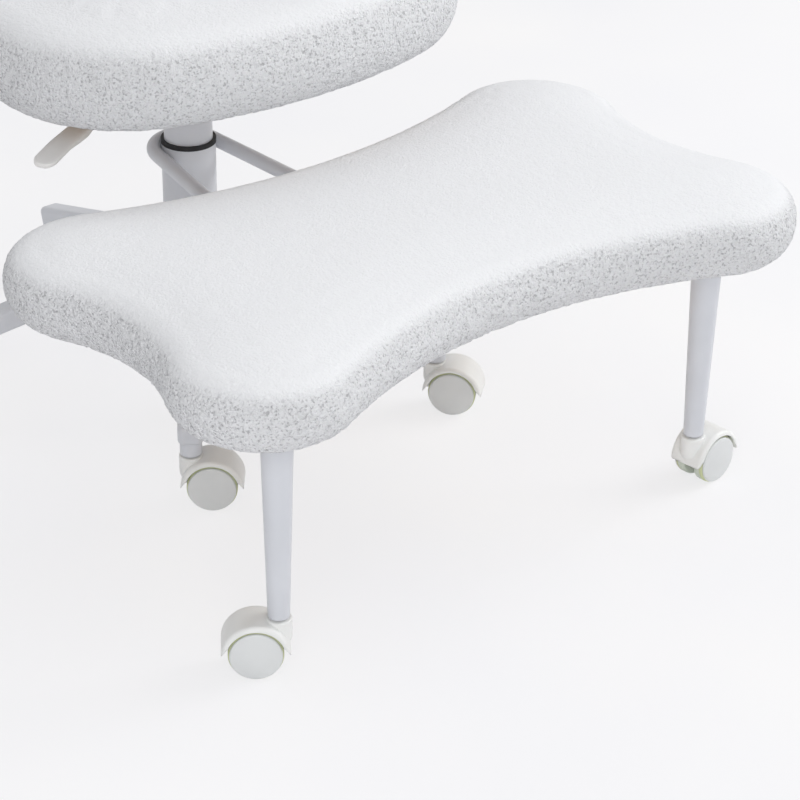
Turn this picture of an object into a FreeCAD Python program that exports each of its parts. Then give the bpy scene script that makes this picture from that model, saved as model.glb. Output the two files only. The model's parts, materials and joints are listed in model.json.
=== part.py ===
import FreeCAD
import Part
import Sketcher
import math
import os
import re

# Cross-legged office chair. A seat swivels and rises on a gas lift in a five-leg star base, and
# a four-lobed foot stool orbits the column on a sleeve, with two castered legs at its front.
# Millimetres, +Z up. The origin is on the floor under the column, the stool lies towards -Y and
# +X is the sitter's left.

SIZES = {
    # Clearances
    "running_gap": 0.05,
    "face_gap": 0.3,
    "weld_gap": 0.1,
    # Gas lift: outer tube with a tapered foot
    "gas_tube_radius": 25,
    "gas_tube_wall": 2,
    "gas_tube_bottom": 88,
    "gas_tube_top": 318,
    "gas_taper_length": 80,
    "gas_taper_drop": 1.2,
    "gas_foot": 3,
    "guide_length": 60,
    "guide_flange": 2,
    # Gas lift: rod, bearing and sliding cylinder
    "rod_radius": 5,
    "rod_tail": 6,
    "rod_collar_radius": 9,
    "rod_collar_height": 4,
    "clip_radius": 9,
    "clip_height": 1.5,
    "bearing_radius": 11,
    "bearing_height": 6,
    "piston_top": 232,
    "piston_height": 10,
    "piston_gap": 0.1,
    "cylinder_radius": 14,
    "cylinder_wall": 1.5,
    "cylinder_bottom": 115,
    "cylinder_seal": 12,
    "cylinder_cap": 14,
    "cylinder_taper_drop": 0.7,
    "pin_radius": 3,
    "pin_length": 26,
    "pin_rise": 6,
    "cylinder_stand": 2,
    # Star base
    "hub_radius": 31,
    "hub_bottom": 96,
    "hub_top": 174,
    "star_legs": 5,
    "star_turn": -126,
    "star_radius": 265,
    "leg_width": 25,
    "leg_height": 25,
    "leg_wall": 1.5,
    "leg_corner": 6,
    "leg_slope": 15.2,
    "leg_rise": 86,
    "leg_tip": 17,
    "socket_radius": 11,
    "socket_bore_depth": 36,
    # Casters
    "wheel_radius": 25,
    "wheel_width": 14.2,
    "wheel_edge": 2.5,
    "wheel_gap": 0.6,
    "axle_radius": 3,
    "axle_depth": 10.5,
    "caster_trail": 20.7,
    "caster_height": 57,
    "web_width": 11,
    "hood_radius": 31,
    "hood_gap": 1.4,
    "hood_inset": 1,
    "hood_edge": 4,
    "horn_height": 9,
    "hub_disc_radius": 9,
    "boss_radius": 12,
    "boss_length": 28,
    "boss_edge": 1.5,
    "boss_foot": 10,
    "stem_radius": 5.5,
    "stem_grip": 34,
    "stem_collar_radius": 7.5,
    "stem_collar_height": 1.7,
    "stem_pivot_radius": 4,
    "stem_pivot_length": 19,
    # Stool arm: sleeve, bushes, hairpin tube
    "sleeve_radius": 28,
    "sleeve_wall": 1.5,
    "sleeve_top": 271,
    "bush_length": 20,
    "bush_flange": 4.5,
    "bush_rim": 0.5,
    "arm_radius": 7.5,
    "arm_wall": 1.5,
    "arm_height": 262.2,
    "arm_spread": 7.6,
    "arm_length": 353,
    "arm_cap": 2,
    "mount_plate_width": 220,
    "mount_plate_depth": 60,
    "mount_plate_thickness": 2.5,
    "mount_plate_reach": 312,
    "mount_screw_spacing_x": 194,
    "mount_screw_spacing_y": 40,
    # Stool
    "stool_reach": 363,
    "stool_bottom": 255.5,
    "stool_thickness": 69,
    "stool_crown": 6,
    "front_lobe_x": 261,
    "front_lobe_y": 117,
    "front_lobe_radius": 87,
    "front_waist": 60,
    "back_lobe_x": 262,
    "back_lobe_y": 125.5,
    "back_lobe_radius": 89,
    "back_waist": 48.5,
    "side_waist_radius": 196,
    "stool_top_draw": 33,
    "stool_bottom_draw": 42,
    "stool_board_inset": 45,
    "board_thickness": 12,
    "board_pocket_gap": 0.4,
    "stool_leg_x": 258,
    "stool_leg_y": 491.5,
    "stool_leg_top_radius": 15,
    "stool_leg_foot_radius": 10,
    "stool_leg_wall": 1.5,
    "stool_leg_foot_solid": 42,
    "leg_flange_radius": 30,
    "leg_screw_circle": 22,
    "screw_radius": 2,
    "screw_length": 9,
    "screw_head_radius": 4.2,
    "screw_head_height": 2.2,
    # Seat
    "seat_bottom": 384,
    "seat_thickness": 92,
    "seat_crown": 8,
    "seat_half_width": 257,
    "seat_front": 229,
    "seat_back": 215,
    "seat_front_bow": 520,
    "seat_back_bow": 900,
    "seat_front_corner": 149,
    "seat_back_corner": 115,
    "seat_top_draw": 46,
    "seat_bottom_draw": 42,
    "seat_board_inset": 52,
    # Seat plate
    "plate_width": 190,
    "plate_depth": 160,
    "plate_thickness": 2.5,
    "dish_width": 120,
    "dish_depth": 110,
    "dish_height": 40,
    "taper_socket_radius": 20,
    "taper_socket_length": 32,
    "taper_socket_drop": 12,
    "plate_bolt_spacing_x": 160,
    "plate_bolt_spacing_y": 124,
    "bolt_radius": 3,
    "bolt_head_radius": 5,
    "bolt_head_height": 4,
    "bolt_bite": 10,
    # Height lever
    "lever_heading": 204.8,
    "lever_slope": 4.6,
    "lever_pivot_reach": 45,
    "lever_rod_radius": 4,
    "lever_rod_inside": 52,
    "lever_rod_outside": 140,
    "lever_pin_radius": 3,
    "lever_pin_length": 26,
    "ear_gap": 4,
    "ear_thickness": 3,
    "ear_half_width": 7,
    "lever_slot_side": 2,
    "grip_radius": 7,
    "grip_start": 95,
    "grip_end": 152,
    "blade_droop": 2.8,
    "blade_length": 75,
    "blade_width": 24,
    "blade_thickness": 5,
    # Backrest
    "bracket_width": 60,
    "bracket_thickness": 6,
    "bracket_start": 85,
    "bracket_run": 110,
    "bracket_bend": 24,
    "bracket_lean": 8,
    "bracket_upright": 400,
    "bracket_bolt_first": 20,
    "bracket_bolt_step": 40,
    "back_rise": 328,
    "back_half_width": 215,
    "back_half_height": 125,
    "back_thickness": 78,
    "back_crown": 8,
    "back_side_bow": 700,
    "back_corner": 85,
    "back_top_draw": 38,
    "back_bottom_draw": 30,
    "back_board_inset": 42,
    "back_bolt_step": 50,
}

ORIGIN = FreeCAD.Vector(0, 0, 0)
X_AXIS = FreeCAD.Vector(1, 0, 0)
Y_AXIS = FreeCAD.Vector(0, 1, 0)
Z_AXIS = FreeCAD.Vector(0, 0, 1)
ALONG_X = FreeCAD.Rotation(Y_AXIS, 90)
ALONG_Y = FreeCAD.Rotation(X_AXIS, -90)
HALF_UP = FreeCAD.Rotation(X_AXIS, 90)

# Places that several pieces share, worked out from the sizes
BOSS_TOP = "(caster_height - stem_collar_height - face_gap)"
WHEEL_START = "(web_width / 2 + wheel_gap)"
HOOD_BORE = "(wheel_radius + hood_gap)"
HOOD_WIDTH = "(web_width + 2 * wheel_gap + 2 * wheel_width - 2 * hood_inset)"
# The hood's horns run out to a point, along an arc about a line below the axle
HORN_DROP = f"((hood_radius ^ 2 - {HOOD_BORE} ^ 2) / (2 * horn_height))"
HORN_ARC = f"sqrt(hood_radius ^ 2 + {HORN_DROP} ^ 2)"
SLEEVE_BORE = "(sleeve_radius - sleeve_wall)"
SLEEVE_BOTTOM = "(hub_top + face_gap + bush_flange)"
ARM_LOOP = "(sleeve_radius + weld_gap + arm_radius)"
MOUNT_PLATE_BOTTOM = "(stool_bottom - mount_plate_thickness)"
MOUNT_PLATE_BACK = "(mount_plate_reach - mount_plate_depth / 2)"
MOUNT_PLATE_FRONT = "(mount_plate_reach + mount_plate_depth / 2)"
ARM_DROP = f"(arm_height - {MOUNT_PLATE_BOTTOM} + weld_gap + arm_radius)"
# The arms meet the plate at its back edge where they fall away from the sleeve, or else at its front
ARM_SEAT = f"({ARM_DROP} > 0 ? {MOUNT_PLATE_BACK} : {MOUNT_PLATE_FRONT})"
ARM_TILT = f"atan({ARM_DROP} / {ARM_SEAT})"
BEARING_BOTTOM = "(gas_tube_bottom + gas_foot)"
COLLAR_BOTTOM = f"({BEARING_BOTTOM} + bearing_height + face_gap)"
CYLINDER_BORE = "(cylinder_radius - cylinder_wall)"
SOCKET_BOTTOM = "(seat_bottom - dish_height - taper_socket_drop)"
CYLINDER_TOP = f"({SOCKET_BOTTOM} + taper_socket_length + cylinder_stand)"
TAPER_LENGTH = f"({CYLINDER_TOP} - {SOCKET_BOTTOM})"
PIN_TOP = f"({CYLINDER_TOP} + pin_rise)"
DISH_FLOOR = "(seat_bottom - dish_height + plate_thickness)"
PLATE_BOTTOM = "(seat_bottom - plate_thickness)"
LEVER_AXIS = f"({PIN_TOP} + face_gap + lever_rod_radius / cos(lever_slope))"
PIVOT_HEIGHT = f"({LEVER_AXIS} - lever_pivot_reach * tan(lever_slope))"
EAR_START = "(lever_rod_radius + ear_gap)"
BRACKET_BOTTOM = "(seat_bottom - bracket_thickness)"
BRACKET_BOLT_REACH = "bracket_thickness + bolt_bite"
BEND_CENTRE = "(seat_bottom + bracket_bend)"
BEND_END = "(bracket_start + bracket_run)"
SCREW_HOLE = "(screw_radius + face_gap)"
BOLT_HOLE = "(bolt_radius + face_gap)"

# How each caster trails at rest, as an angle from +X: the base's by number, the stool's by side
BASE_CASTER_HEADINGS = (-39.4, -50, 60, 130, 205)
STOOL_CASTER_HEADINGS = {"left": 6, "right": 144}
SIDE_SIGN = {"left": 1, "right": -1}
CORNER_SIGNS = ((-1, -1), (1, -1), (1, 1), (-1, 1))
LEG_SCREW_ANGLES = (60, 180, 300)

# Side profile of a cushion: angles from its lower rim to its upper one, how squarely the side
# turns over, and the steps of the crown above the upper rim
SIDE_ANGLES = (-90, -80, -64, -45, -22, 0, 22, 45, 64, 80, 90)
SIDE_SQUARENESS = 0.7
CROWN_STEPS = (0.35, 0.7, 1.0)
CROWN_REACH = 0.8

doc = FreeCAD.newDocument("CrossLeggedChair")
sheet = doc.addObject("Spreadsheet::Sheet", "Sizes")
for row, (alias, number) in enumerate(SIZES.items(), start=1):
    sheet.set(f"A{row}", alias)
    sheet.set(f"B{row}", str(number))
    sheet.setAlias(f"B{row}", alias)
doc.recompute()

subparts = []


def sized(expression):
    """The expression with each size's alias pointed at the sheet."""
    def point(word):
        return "Sizes." + word[0] if word[0] in SIZES else word[0]
    return re.sub(r"[a-z][a-z0-9_]*", point, expression)


def value(expression):
    """The number that an expression of sizes comes to."""
    result = sheet.evalExpression(sized(expression))
    return float(getattr(result, "Value", result))


def vector(x, y, z):
    return FreeCAD.Vector(value(x), value(y), value(z))


def bind(feature, **expressions):
    for name, expression in expressions.items():
        feature.setExpression(name, sized(expression))
    return feature


def place(feature, x, y, z, turn=None):
    """Puts a feature at sizes of the sheet, turned by a rotation where one is given."""
    if turn:
        feature.Placement = FreeCAD.Placement(ORIGIN, turn)
    for axis, expression in zip("xyz", (x, y, z)):
        feature.setExpression(f".Placement.Base.{axis}", sized(expression))
    return feature


def cylinder(name, radius, height, x="0", y="0", z="0", turn=None):
    feature = bind(doc.addObject("Part::Cylinder", name), Radius=radius, Height=height)
    return place(feature, x, y, z, turn)


def sector(name, radius, height, sweep, x="0", y="0", z="0", turn=None):
    """A slice of a cylinder, swept from its own +X."""
    return bind(cylinder(name, radius, height, x, y, z, turn), Angle=f"({sweep}) * 1 deg")


def cone(name, bottom, top, height, x="0", y="0", z="0"):
    feature = bind(doc.addObject("Part::Cone", name), Radius1=bottom, Radius2=top, Height=height)
    return place(feature, x, y, z)


def box(name, length, width, height, x, y, z):
    feature = bind(doc.addObject("Part::Box", name), Length=length, Width=width, Height=height)
    return place(feature, x, y, z)


def slab(name, length, width, height, z, y="0"):
    """A box centred on x = 0 and on the given y."""
    return box(name, length, width, height, f"-({length}) / 2", f"{y} - ({width}) / 2", z)


def cut(name, base, tool):
    feature = doc.addObject("Part::Cut", name)
    feature.Base = base
    feature.Tool = tool
    return feature


def fuse(name, *features):
    feature = doc.addObject("Part::MultiFuse", name)
    feature.Shapes = list(features)
    return feature


def group(name, features):
    feature = doc.addObject("Part::Compound", name)
    feature.Links = list(features)
    return feature


def fillet(name, base, radius, chosen):
    """Rounds the edges of the base that the test picks out."""
    doc.recompute()
    feature = doc.addObject("Part::Fillet", name)
    feature.Base = base
    size = value(radius)
    feature.Edges = [(index, size, size) for index, edge in enumerate(base.Shape.Edges, 1) if chosen(edge)]
    return feature


def is_circle(edge, radius):
    return isinstance(edge.Curve, Part.Circle) and abs(edge.Curve.Radius - radius) < 1e-6


def solid(name, shape):
    """A piece whose shape comes from curves rather than from primitives."""
    feature = doc.addObject("Part::Feature", name)
    feature.Shape = shape
    return feature


def keep(feature, label, placement=None):
    """Marks a feature as one of the chair's pieces."""
    feature.Label = label
    if placement:
        feature.Placement = placement
    subparts.append(feature)
    return feature


def rods(name, spots, radius, bottom, height):
    """Upright cylinders at points of the plan, as one tool."""
    return fuse(name, *[
        cylinder(f"{name}_{number}", radius, height, x, y, bottom)
        for number, (x, y) in enumerate(spots, 1)
    ])


def rectangle_spots(spacing_x, spacing_y, y="0"):
    return [(f"{sx} * {spacing_x} / 2", f"{y} + {sy} * {spacing_y} / 2") for sx, sy in CORNER_SIGNS]


def fasteners(name, kind, spots, seat, length):
    """Screws or bolts driven upwards, with the head's inner face at the seat height."""
    bottom = f"{seat} - {kind}_head_height"
    whole_length = f"{length} + {kind}_head_height"
    made = []
    for number, (x, y) in enumerate(spots, 1):
        shank = cylinder(f"{name}_{number}_shank", f"{kind}_radius", whole_length, x, y, bottom)
        head = cylinder(f"{name}_{number}_head", f"{kind}_head_radius", f"{kind}_head_height", x, y, bottom)
        made.append(fuse(f"{name}_{number}", shank, head))
    return made


# Gas lift

def gas_outside(name, growth):
    """The outer tube's tapered foot and straight length, grown or shrunk in radius."""
    foot = cone(
        f"{name}_taper",
        f"gas_tube_radius - gas_taper_drop + {growth}",
        f"gas_tube_radius + {growth}",
        "gas_taper_length",
        z="gas_tube_bottom",
    )
    straight = cylinder(
        f"{name}_straight",
        f"gas_tube_radius + {growth}",
        "gas_tube_top - gas_tube_bottom - gas_taper_length",
        z="gas_tube_bottom + gas_taper_length",
    )
    return fuse(name, foot, straight)


def make_gas_tube():
    wall = cut("gas_wall", gas_outside("gas_outside", "0"), gas_outside("gas_inside", "-gas_tube_wall"))
    foot_radius = "gas_tube_radius - gas_taper_drop - gas_tube_wall / 2"
    foot = cylinder("gas_foot_plate", foot_radius, "gas_foot", z="gas_tube_bottom")
    hole = cylinder("gas_foot_hole", "rod_radius + running_gap", "gas_foot", z="gas_tube_bottom")
    keep(cut("gas_outer_tube", fuse("gas_closed", wall, foot), hole), "gas_outer_tube")


def make_guide_bush():
    outside = cylinder(
        "guide_sleeve",
        "gas_tube_radius - gas_tube_wall - running_gap",
        "guide_length",
        z="gas_tube_top - guide_length",
    )
    flange = cylinder("guide_rim", "gas_tube_radius", "guide_flange", z="gas_tube_top")
    bore = cylinder(
        "guide_bore",
        "cylinder_radius + running_gap",
        "guide_length + guide_flange",
        z="gas_tube_top - guide_length",
    )
    keep(cut("gas_guide_bush", fuse("guide_solid", outside, flange), bore), "gas_guide_bush")


def make_rod():
    bearing = cylinder("bearing_ring", "bearing_radius", "bearing_height", z=BEARING_BOTTOM)
    bearing_bore = cylinder("bearing_bore", "rod_radius + running_gap", "bearing_height", z=BEARING_BOTTOM)
    keep(cut("gas_thrust_bearing", bearing, bearing_bore), "gas_thrust_bearing")
    rod_length = "piston_top - gas_tube_bottom + rod_tail"
    rod = cylinder("rod_bar", "rod_radius", rod_length, z="gas_tube_bottom - rod_tail")
    collar = cylinder("rod_collar", "rod_collar_radius", "rod_collar_height", z=COLLAR_BOTTOM)
    piston = cylinder(
        "rod_piston", f"{CYLINDER_BORE} - piston_gap", "piston_height", z="piston_top - piston_height"
    )
    keep(fuse("gas_piston_rod", rod, collar, piston), "gas_piston_rod")
    clip_bottom = "gas_tube_bottom - face_gap - clip_height"
    clip = cylinder("clip_ring", "clip_radius", "clip_height", z=clip_bottom)
    clip_bore = cylinder("clip_bore", "rod_radius + running_gap", "clip_height", z=clip_bottom)
    keep(cut("gas_rod_clip", clip, clip_bore), "gas_rod_clip")


def taper_outside(name, growth):
    """The cylinder's upper taper, which wedges into the seat plate's socket."""
    return cone(
        name,
        f"cylinder_radius + {growth}",
        f"cylinder_radius - cylinder_taper_drop + {growth}",
        TAPER_LENGTH,
        z=SOCKET_BOTTOM,
    )


def make_gas_cylinder():
    straight = cylinder(
        "cylinder_straight", "cylinder_radius", f"{SOCKET_BOTTOM} - cylinder_bottom", z="cylinder_bottom"
    )
    outside = fuse("cylinder_outside", straight, taper_outside("cylinder_taper", "0"))
    chamber_height = f"{CYLINDER_TOP} - cylinder_cap - cylinder_bottom - cylinder_seal"
    chamber = cylinder("cylinder_chamber", CYLINDER_BORE, chamber_height, z="cylinder_bottom + cylinder_seal")
    seal_bore = cylinder(
        "cylinder_seal_bore", "rod_radius + running_gap", "cylinder_seal", z="cylinder_bottom"
    )
    pin_bore = cylinder(
        "cylinder_pin_bore", "pin_radius + running_gap", "cylinder_cap", z=f"{CYLINDER_TOP} - cylinder_cap"
    )
    hollow = fuse("cylinder_hollow", chamber, seal_bore, pin_bore)
    keep(cut("gas_cylinder", outside, hollow), "gas_cylinder")
    pin = cylinder("gas_release_pin", "pin_radius", "pin_length", z=f"{PIN_TOP} - pin_length")
    keep(pin, "gas_release_pin")


# Star base

def make_hub():
    outside = cylinder("hub_outside", "hub_radius", "hub_top - hub_bottom", z="hub_bottom")
    keep(cut("base_hub", outside, gas_outside("hub_bore", "running_gap")), "base_hub")


def leg_bar(name, inset):
    """A round-cornered bar along the leg's slope, from inside the hub to its tip, shrunk by an inset."""
    slope = FreeCAD.Rotation(Y_AXIS, value("leg_slope"))
    inner = "(star_radius - hub_radius / 2) / cos(leg_slope)"
    width = f"(leg_width - 2 * {inset})"
    height = f"(leg_height - 2 * {inset})"
    bar = doc.addObject("Part::Box", f"{name}_square")
    bind(bar, Length=f"{inner} + leg_tip - {inset}", Width=width, Height=height)
    corner = slope.multVec(vector(f"-{inner}", f"-{width} / 2", f"-{height} / 2"))
    bar.Placement = FreeCAD.Placement(vector("0", "0", "leg_rise") + corner, slope)
    doc.recompute()
    inner_end = min(bar.Shape.Faces, key=lambda face: face.CenterOfMass.x)
    inner_edges = [edge.hashCode() for edge in inner_end.Edges]
    return fillet(name, bar, f"leg_corner - {inset}", lambda edge: edge.hashCode() not in inner_edges)


def make_leg(number):
    """One leg: a closed square tube with the caster's socket through its tip."""
    name = f"leg_{number}"
    tube = cut(f"{name}_tube", leg_bar(f"{name}_outside", "0"), leg_bar(f"{name}_inside", "leg_wall"))
    socket_height = "leg_rise - caster_height + leg_height / 4"
    socket = cylinder(f"{name}_socket", "socket_radius", socket_height, z="caster_height")
    joined = fuse(f"{name}_joined", tube, socket)
    bore = cylinder(f"{name}_bore", "stem_radius + running_gap", "socket_bore_depth", z="caster_height")
    hub = cylinder(f"{name}_hub", "hub_radius + weld_gap", "2 * leg_rise + hub_top", x="-star_radius")
    leg = cut(name, joined, fuse(f"{name}_tools", bore, hub))
    leg.Placement = star_placement(number)
    return leg


def star_placement(number):
    """Where a star leg's caster stem stands, turned to point out from the column."""
    angle = value("star_turn") + number * 360 / value("star_legs")
    turn = FreeCAD.Rotation(Z_AXIS, angle)
    return FreeCAD.Placement(turn.multVec(vector("star_radius", "0", "0")), turn)


# Casters

def make_stem(name, placement):
    """A grip stem: pressed into its socket above the collar, a pivot for the hood below it."""
    grip = cylinder(f"{name}_grip", "stem_radius", "stem_grip", z="caster_height")
    collar_bottom = "caster_height - stem_collar_height"
    collar = cylinder(f"{name}_collar", "stem_collar_radius", "stem_collar_height", z=collar_bottom)
    pivot = cylinder(
        f"{name}_pivot", "stem_pivot_radius", "stem_pivot_length", z=f"{collar_bottom} - stem_pivot_length"
    )
    stem = fuse(name, grip, collar, pivot)
    stem.Placement = placement
    return stem


def on_axle(name, radius, length, start, drop="0"):
    """A cylinder about the axle's line or one below it, from a distance across the caster."""
    return cylinder(name, radius, length, "caster_trail", start, f"wheel_radius - {drop}", ALONG_Y)


def make_hood(name, placement):
    """A hood: half dome over both wheels, a web between them and an offset boss for the stem."""
    dome_at = ("caster_trail", f"{HOOD_WIDTH} / 2", "wheel_radius")
    dome = sector(f"{name}_half", "hood_radius", HOOD_WIDTH, "180", *dome_at, HALF_UP)
    dome_round = value("hood_radius")
    dome = fillet(f"{name}_dome", dome, "hood_edge", lambda edge: is_circle(edge, dome_round))
    boss = cylinder(f"{name}_post", "boss_radius", "boss_length", z=f"{BOSS_TOP} - boss_length")
    boss_top = value(BOSS_TOP)
    boss = fillet(f"{name}_crown", boss, "boss_edge", lambda edge: edge.BoundBox.ZMin > boss_top - 1e-6)
    boss_bottom = value(f"{BOSS_TOP} - boss_length")
    boss = fillet(f"{name}_boss", boss, "boss_foot", lambda edge: edge.BoundBox.ZMax < boss_bottom + 1e-6)
    space = "(wheel_width + 2 * wheel_gap)"
    spaces = [
        on_axle(f"{name}_{kind}_{side}", radius, space, start, drop)
        for kind, radius, drop in (("space", HOOD_BORE, "0"), ("horns", HORN_ARC, HORN_DROP))
        for side, start in (("left", "web_width / 2"), ("right", f"-web_width / 2 - {space}"))
    ]
    hollow = cut(f"{name}_hollow", fuse(f"{name}_outside", dome, boss), fuse(f"{name}_spaces", *spaces))
    disc = on_axle(f"{name}_disc", "hub_disc_radius", "web_width", "-web_width / 2")
    axle_bore = on_axle(f"{name}_axle_bore", "axle_radius + running_gap", "web_width", "-web_width / 2")
    stem_bore = cylinder(
        f"{name}_stem_bore",
        "stem_pivot_radius + running_gap",
        "stem_pivot_length",
        z=f"{BOSS_TOP} - stem_pivot_length",
    )
    bores = fuse(f"{name}_bores", axle_bore, stem_bore)
    keep(cut(name, fuse(f"{name}_body", hollow, disc), bores), name, placement)


def make_wheel(name, side, placement):
    """One wheel: a disc with rounded rims and a blind bore on its inner face."""
    start = WHEEL_START if side == "left" else f"-{WHEEL_START} - wheel_width"
    disc = on_axle(f"{name}_disc", "wheel_radius", "wheel_width", start)
    rim = value("wheel_radius")
    rounded = fillet(f"{name}_rounded", disc, "wheel_edge", lambda edge: is_circle(edge, rim))
    depth = "(axle_depth + face_gap)"
    bore_start = WHEEL_START if side == "left" else f"-{WHEEL_START} - {depth}"
    bore = on_axle(f"{name}_bore", "axle_radius + running_gap", depth, bore_start)
    keep(cut(name, rounded, bore), name, placement)


def make_caster(name, position, heading):
    """A twin-wheel caster that trails along its own +X from the stem."""
    placement = FreeCAD.Placement(position, FreeCAD.Rotation(Z_AXIS, heading))
    make_hood(f"{name}_hood", placement)
    length = f"(2 * {WHEEL_START} + 2 * axle_depth)"
    axle = on_axle(f"{name}_axle_bar", "axle_radius", length, f"-{length} / 2")
    keep(group(f"{name}_axle", [axle]), f"{name}_axle", placement)
    for side in SIDE_SIGN:
        make_wheel(f"{name}_wheel_{side}", side, placement)


def stool_leg_place(side):
    return FreeCAD.Vector(SIDE_SIGN[side] * value("stool_leg_x"), -value("stool_leg_y"), 0)


def make_base():
    make_hub()
    numbers = range(int(value("star_legs")))
    keep(group("base_legs", [make_leg(number) for number in numbers]), "base_legs")
    stems = [make_stem(f"base_stem_{number}", star_placement(number)) for number in numbers]
    keep(group("base_caster_stems", stems), "base_caster_stems")
    for number, heading in zip(numbers, BASE_CASTER_HEADINGS):
        make_caster(f"base_caster_{number + 1}", star_placement(number).Base, heading)


# Outlines and cushions

def point_on(centre, radius, angle, height):
    return FreeCAD.Vector(centre[0] + radius * math.cos(angle), centre[1] + radius * math.sin(angle), height)


def outline_wire(arcs, inset, height):
    """A closed wire of arcs, drawn in by an inset, with lines where two arcs don't meet.

    Each arc has a centre, a radius, two angles, and 1 where it bulges or -1 where it is a waist.
    """
    ends = []
    edges = []
    for centre, radius, start, end, bulge in arcs:
        drawn = radius - bulge * inset
        spots = [point_on(centre, drawn, angle, height) for angle in (start, (start + end) / 2, end)]
        ends.append((spots[0], spots[2]))
        edges.append(Part.Arc(*spots).toShape())
    wire = []
    for number, edge in enumerate(edges):
        wire.append(edge)
        here = ends[number][1]
        there = ends[(number + 1) % len(ends)][0]
        if here.distanceToPoint(there) > 1e-6:
            wire.append(Part.makeLine(here, there))
    return Part.Wire(wire)


def stool_outline():
    """Four lobes joined by waists that are tangent to them, in order from the front waist."""
    front_x, front_y, front_r = (value(f"front_lobe_{key}") for key in ("x", "y", "radius"))
    back_x, back_y, back_r = (value(f"back_lobe_{key}") for key in ("x", "y", "radius"))
    middle = -value("stool_reach")

    def waist(x, radius, depth):
        return x * x / (2 * depth) - radius + depth / 2

    front_bow = waist(front_x, front_r, value("front_waist"))
    back_bow = waist(back_x, back_r, value("back_waist"))
    front_far = front_y + front_r - value("front_waist") + front_bow
    back_far = back_y + back_r - value("back_waist") + back_bow
    front_turn = math.atan2(front_far - front_y, front_x)
    back_turn = math.atan2(back_far - back_y, back_x)

    # The side waist touches a front and a back lobe: its centre is where two circles meet
    side_r = value("side_waist_radius")
    across = FreeCAD.Vector(front_x - back_x, -front_y - back_y, 0)
    along = ((side_r + back_r) ** 2 - (side_r + front_r) ** 2 + across.Length ** 2) / (2 * across.Length)
    out = math.sqrt((side_r + back_r) ** 2 - along ** 2)
    unit = across / across.Length
    side_x = back_x + unit.x * along - unit.y * out
    side_y = back_y + unit.y * along + unit.x * out
    front_side = math.atan2(side_y + front_y, side_x - front_x)
    back_side = math.atan2(side_y - back_y, side_x - back_x)

    pi = math.pi
    arcs = [
        ((0, -front_far), front_bow, pi - front_turn, front_turn, -1),
        ((front_x, -front_y), front_r, front_turn - pi, front_side, 1),
        ((side_x, side_y), side_r, front_side + pi, back_side + pi, -1),
        ((back_x, back_y), back_r, back_side, pi - back_turn, 1),
        ((0, back_far), back_bow, -back_turn, back_turn - pi, -1),
        ((-back_x, back_y), back_r, back_turn, pi - back_side, 1),
        ((-side_x, side_y), side_r, -back_side, -front_side, -1),
        ((-front_x, -front_y), front_r, pi - front_side, 2 * pi - front_turn, 1),
    ]
    return [((centre[0], centre[1] + middle), *rest) for centre, *rest in arcs]


def bowed_outline(half_width, front, back, front_bow, back_bow, front_corner, back_corner):
    """A rounded rectangle whose front and back edges bow outwards, in order from the front."""
    def corner(reach, bow, radius):
        x = half_width - radius
        y = reach - bow + math.sqrt((bow - radius) ** 2 - x * x)
        return x, y, math.atan2(y - reach + bow, x)

    front_x, front_y, front_turn = corner(front, front_bow, front_corner)
    back_x, back_y, back_turn = corner(back, back_bow, back_corner)
    pi = math.pi
    return [
        ((0, front_bow - front), front_bow, front_turn - pi, -front_turn, 1),
        ((front_x, -front_y), front_corner, -front_turn, 0, 1),
        ((back_x, back_y), back_corner, 0, back_turn, 1),
        ((0, back - back_bow), back_bow, back_turn, pi - back_turn, 1),
        ((-back_x, back_y), back_corner, pi - back_turn, pi, 1),
        ((-front_x, -front_y), front_corner, pi, pi + front_turn, 1),
    ]


def cushion_shape(arcs, kind, bottom, board_inset):
    """A crowned pad with sides drawn in to its rims, and a pocket below that takes its board."""
    thickness, crown, top_draw, bottom_draw = (
        value(f"{kind}_{key}") for key in ("thickness", "crown", "top_draw", "bottom_draw")
    )
    tightest = min(radius for _, radius, _, _, bulge in arcs if bulge > 0)
    reach = CROWN_REACH * (tightest - top_draw)

    def crown_rise(inset):
        share = inset / (top_draw + reach)
        return crown * share ** 2 * (3 - 2 * share)

    sections = []
    for angle in SIDE_ANGLES:
        turned = 1 - max(math.cos(math.radians(angle)), 0) ** SIDE_SQUARENESS
        rise = thickness / 2 * (1 + math.sin(math.radians(angle)))
        if angle > 0:
            sections.append((top_draw * turned, rise + crown_rise(top_draw * turned)))
        else:
            sections.append((bottom_draw * turned, rise))
    for step in CROWN_STEPS:
        inset = top_draw + reach * step
        sections.append((inset, thickness + crown_rise(inset)))
    underside = bottom + value("face_gap")
    wires = [outline_wire(arcs, inset, underside + rise) for inset, rise in sections]
    loft = Part.makeLoft(wires, True, False)
    gap = value("board_pocket_gap")
    pocket = Part.Face(outline_wire(arcs, board_inset - gap, bottom))
    return loft.cut(pocket.extrude(FreeCAD.Vector(0, 0, value("board_thickness") + gap)))


def board_shape(arcs, inset, bottom, spots, hole_radius):
    """A plywood board of an outline drawn in by an inset, drilled for its fasteners."""
    face = Part.Face(outline_wire(arcs, inset, bottom))
    rise = FreeCAD.Vector(0, 0, value("board_thickness"))
    board = face.extrude(rise)
    for x, y in spots:
        spot = FreeCAD.Vector(value(x), value(y), bottom)
        board = board.cut(Part.makeCylinder(value(hole_radius), rise.z, spot))
    return board


# Stool

def make_bush(name, length_from, flange_from):
    """A flanged bush between the sleeve and the gas tube."""
    liner = cylinder(f"{name}_liner", f"{SLEEVE_BORE} - running_gap", "bush_length", z=length_from)
    flange = cylinder(f"{name}_flange", "sleeve_radius + bush_rim", "bush_flange", z=flange_from)
    lowest = min(length_from, flange_from, key=value)
    bore = cylinder(f"{name}_bore", "gas_tube_radius + running_gap", "bush_length + bush_flange", z=lowest)
    keep(cut(name, fuse(f"{name}_solid", liner, flange), bore), name)


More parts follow.
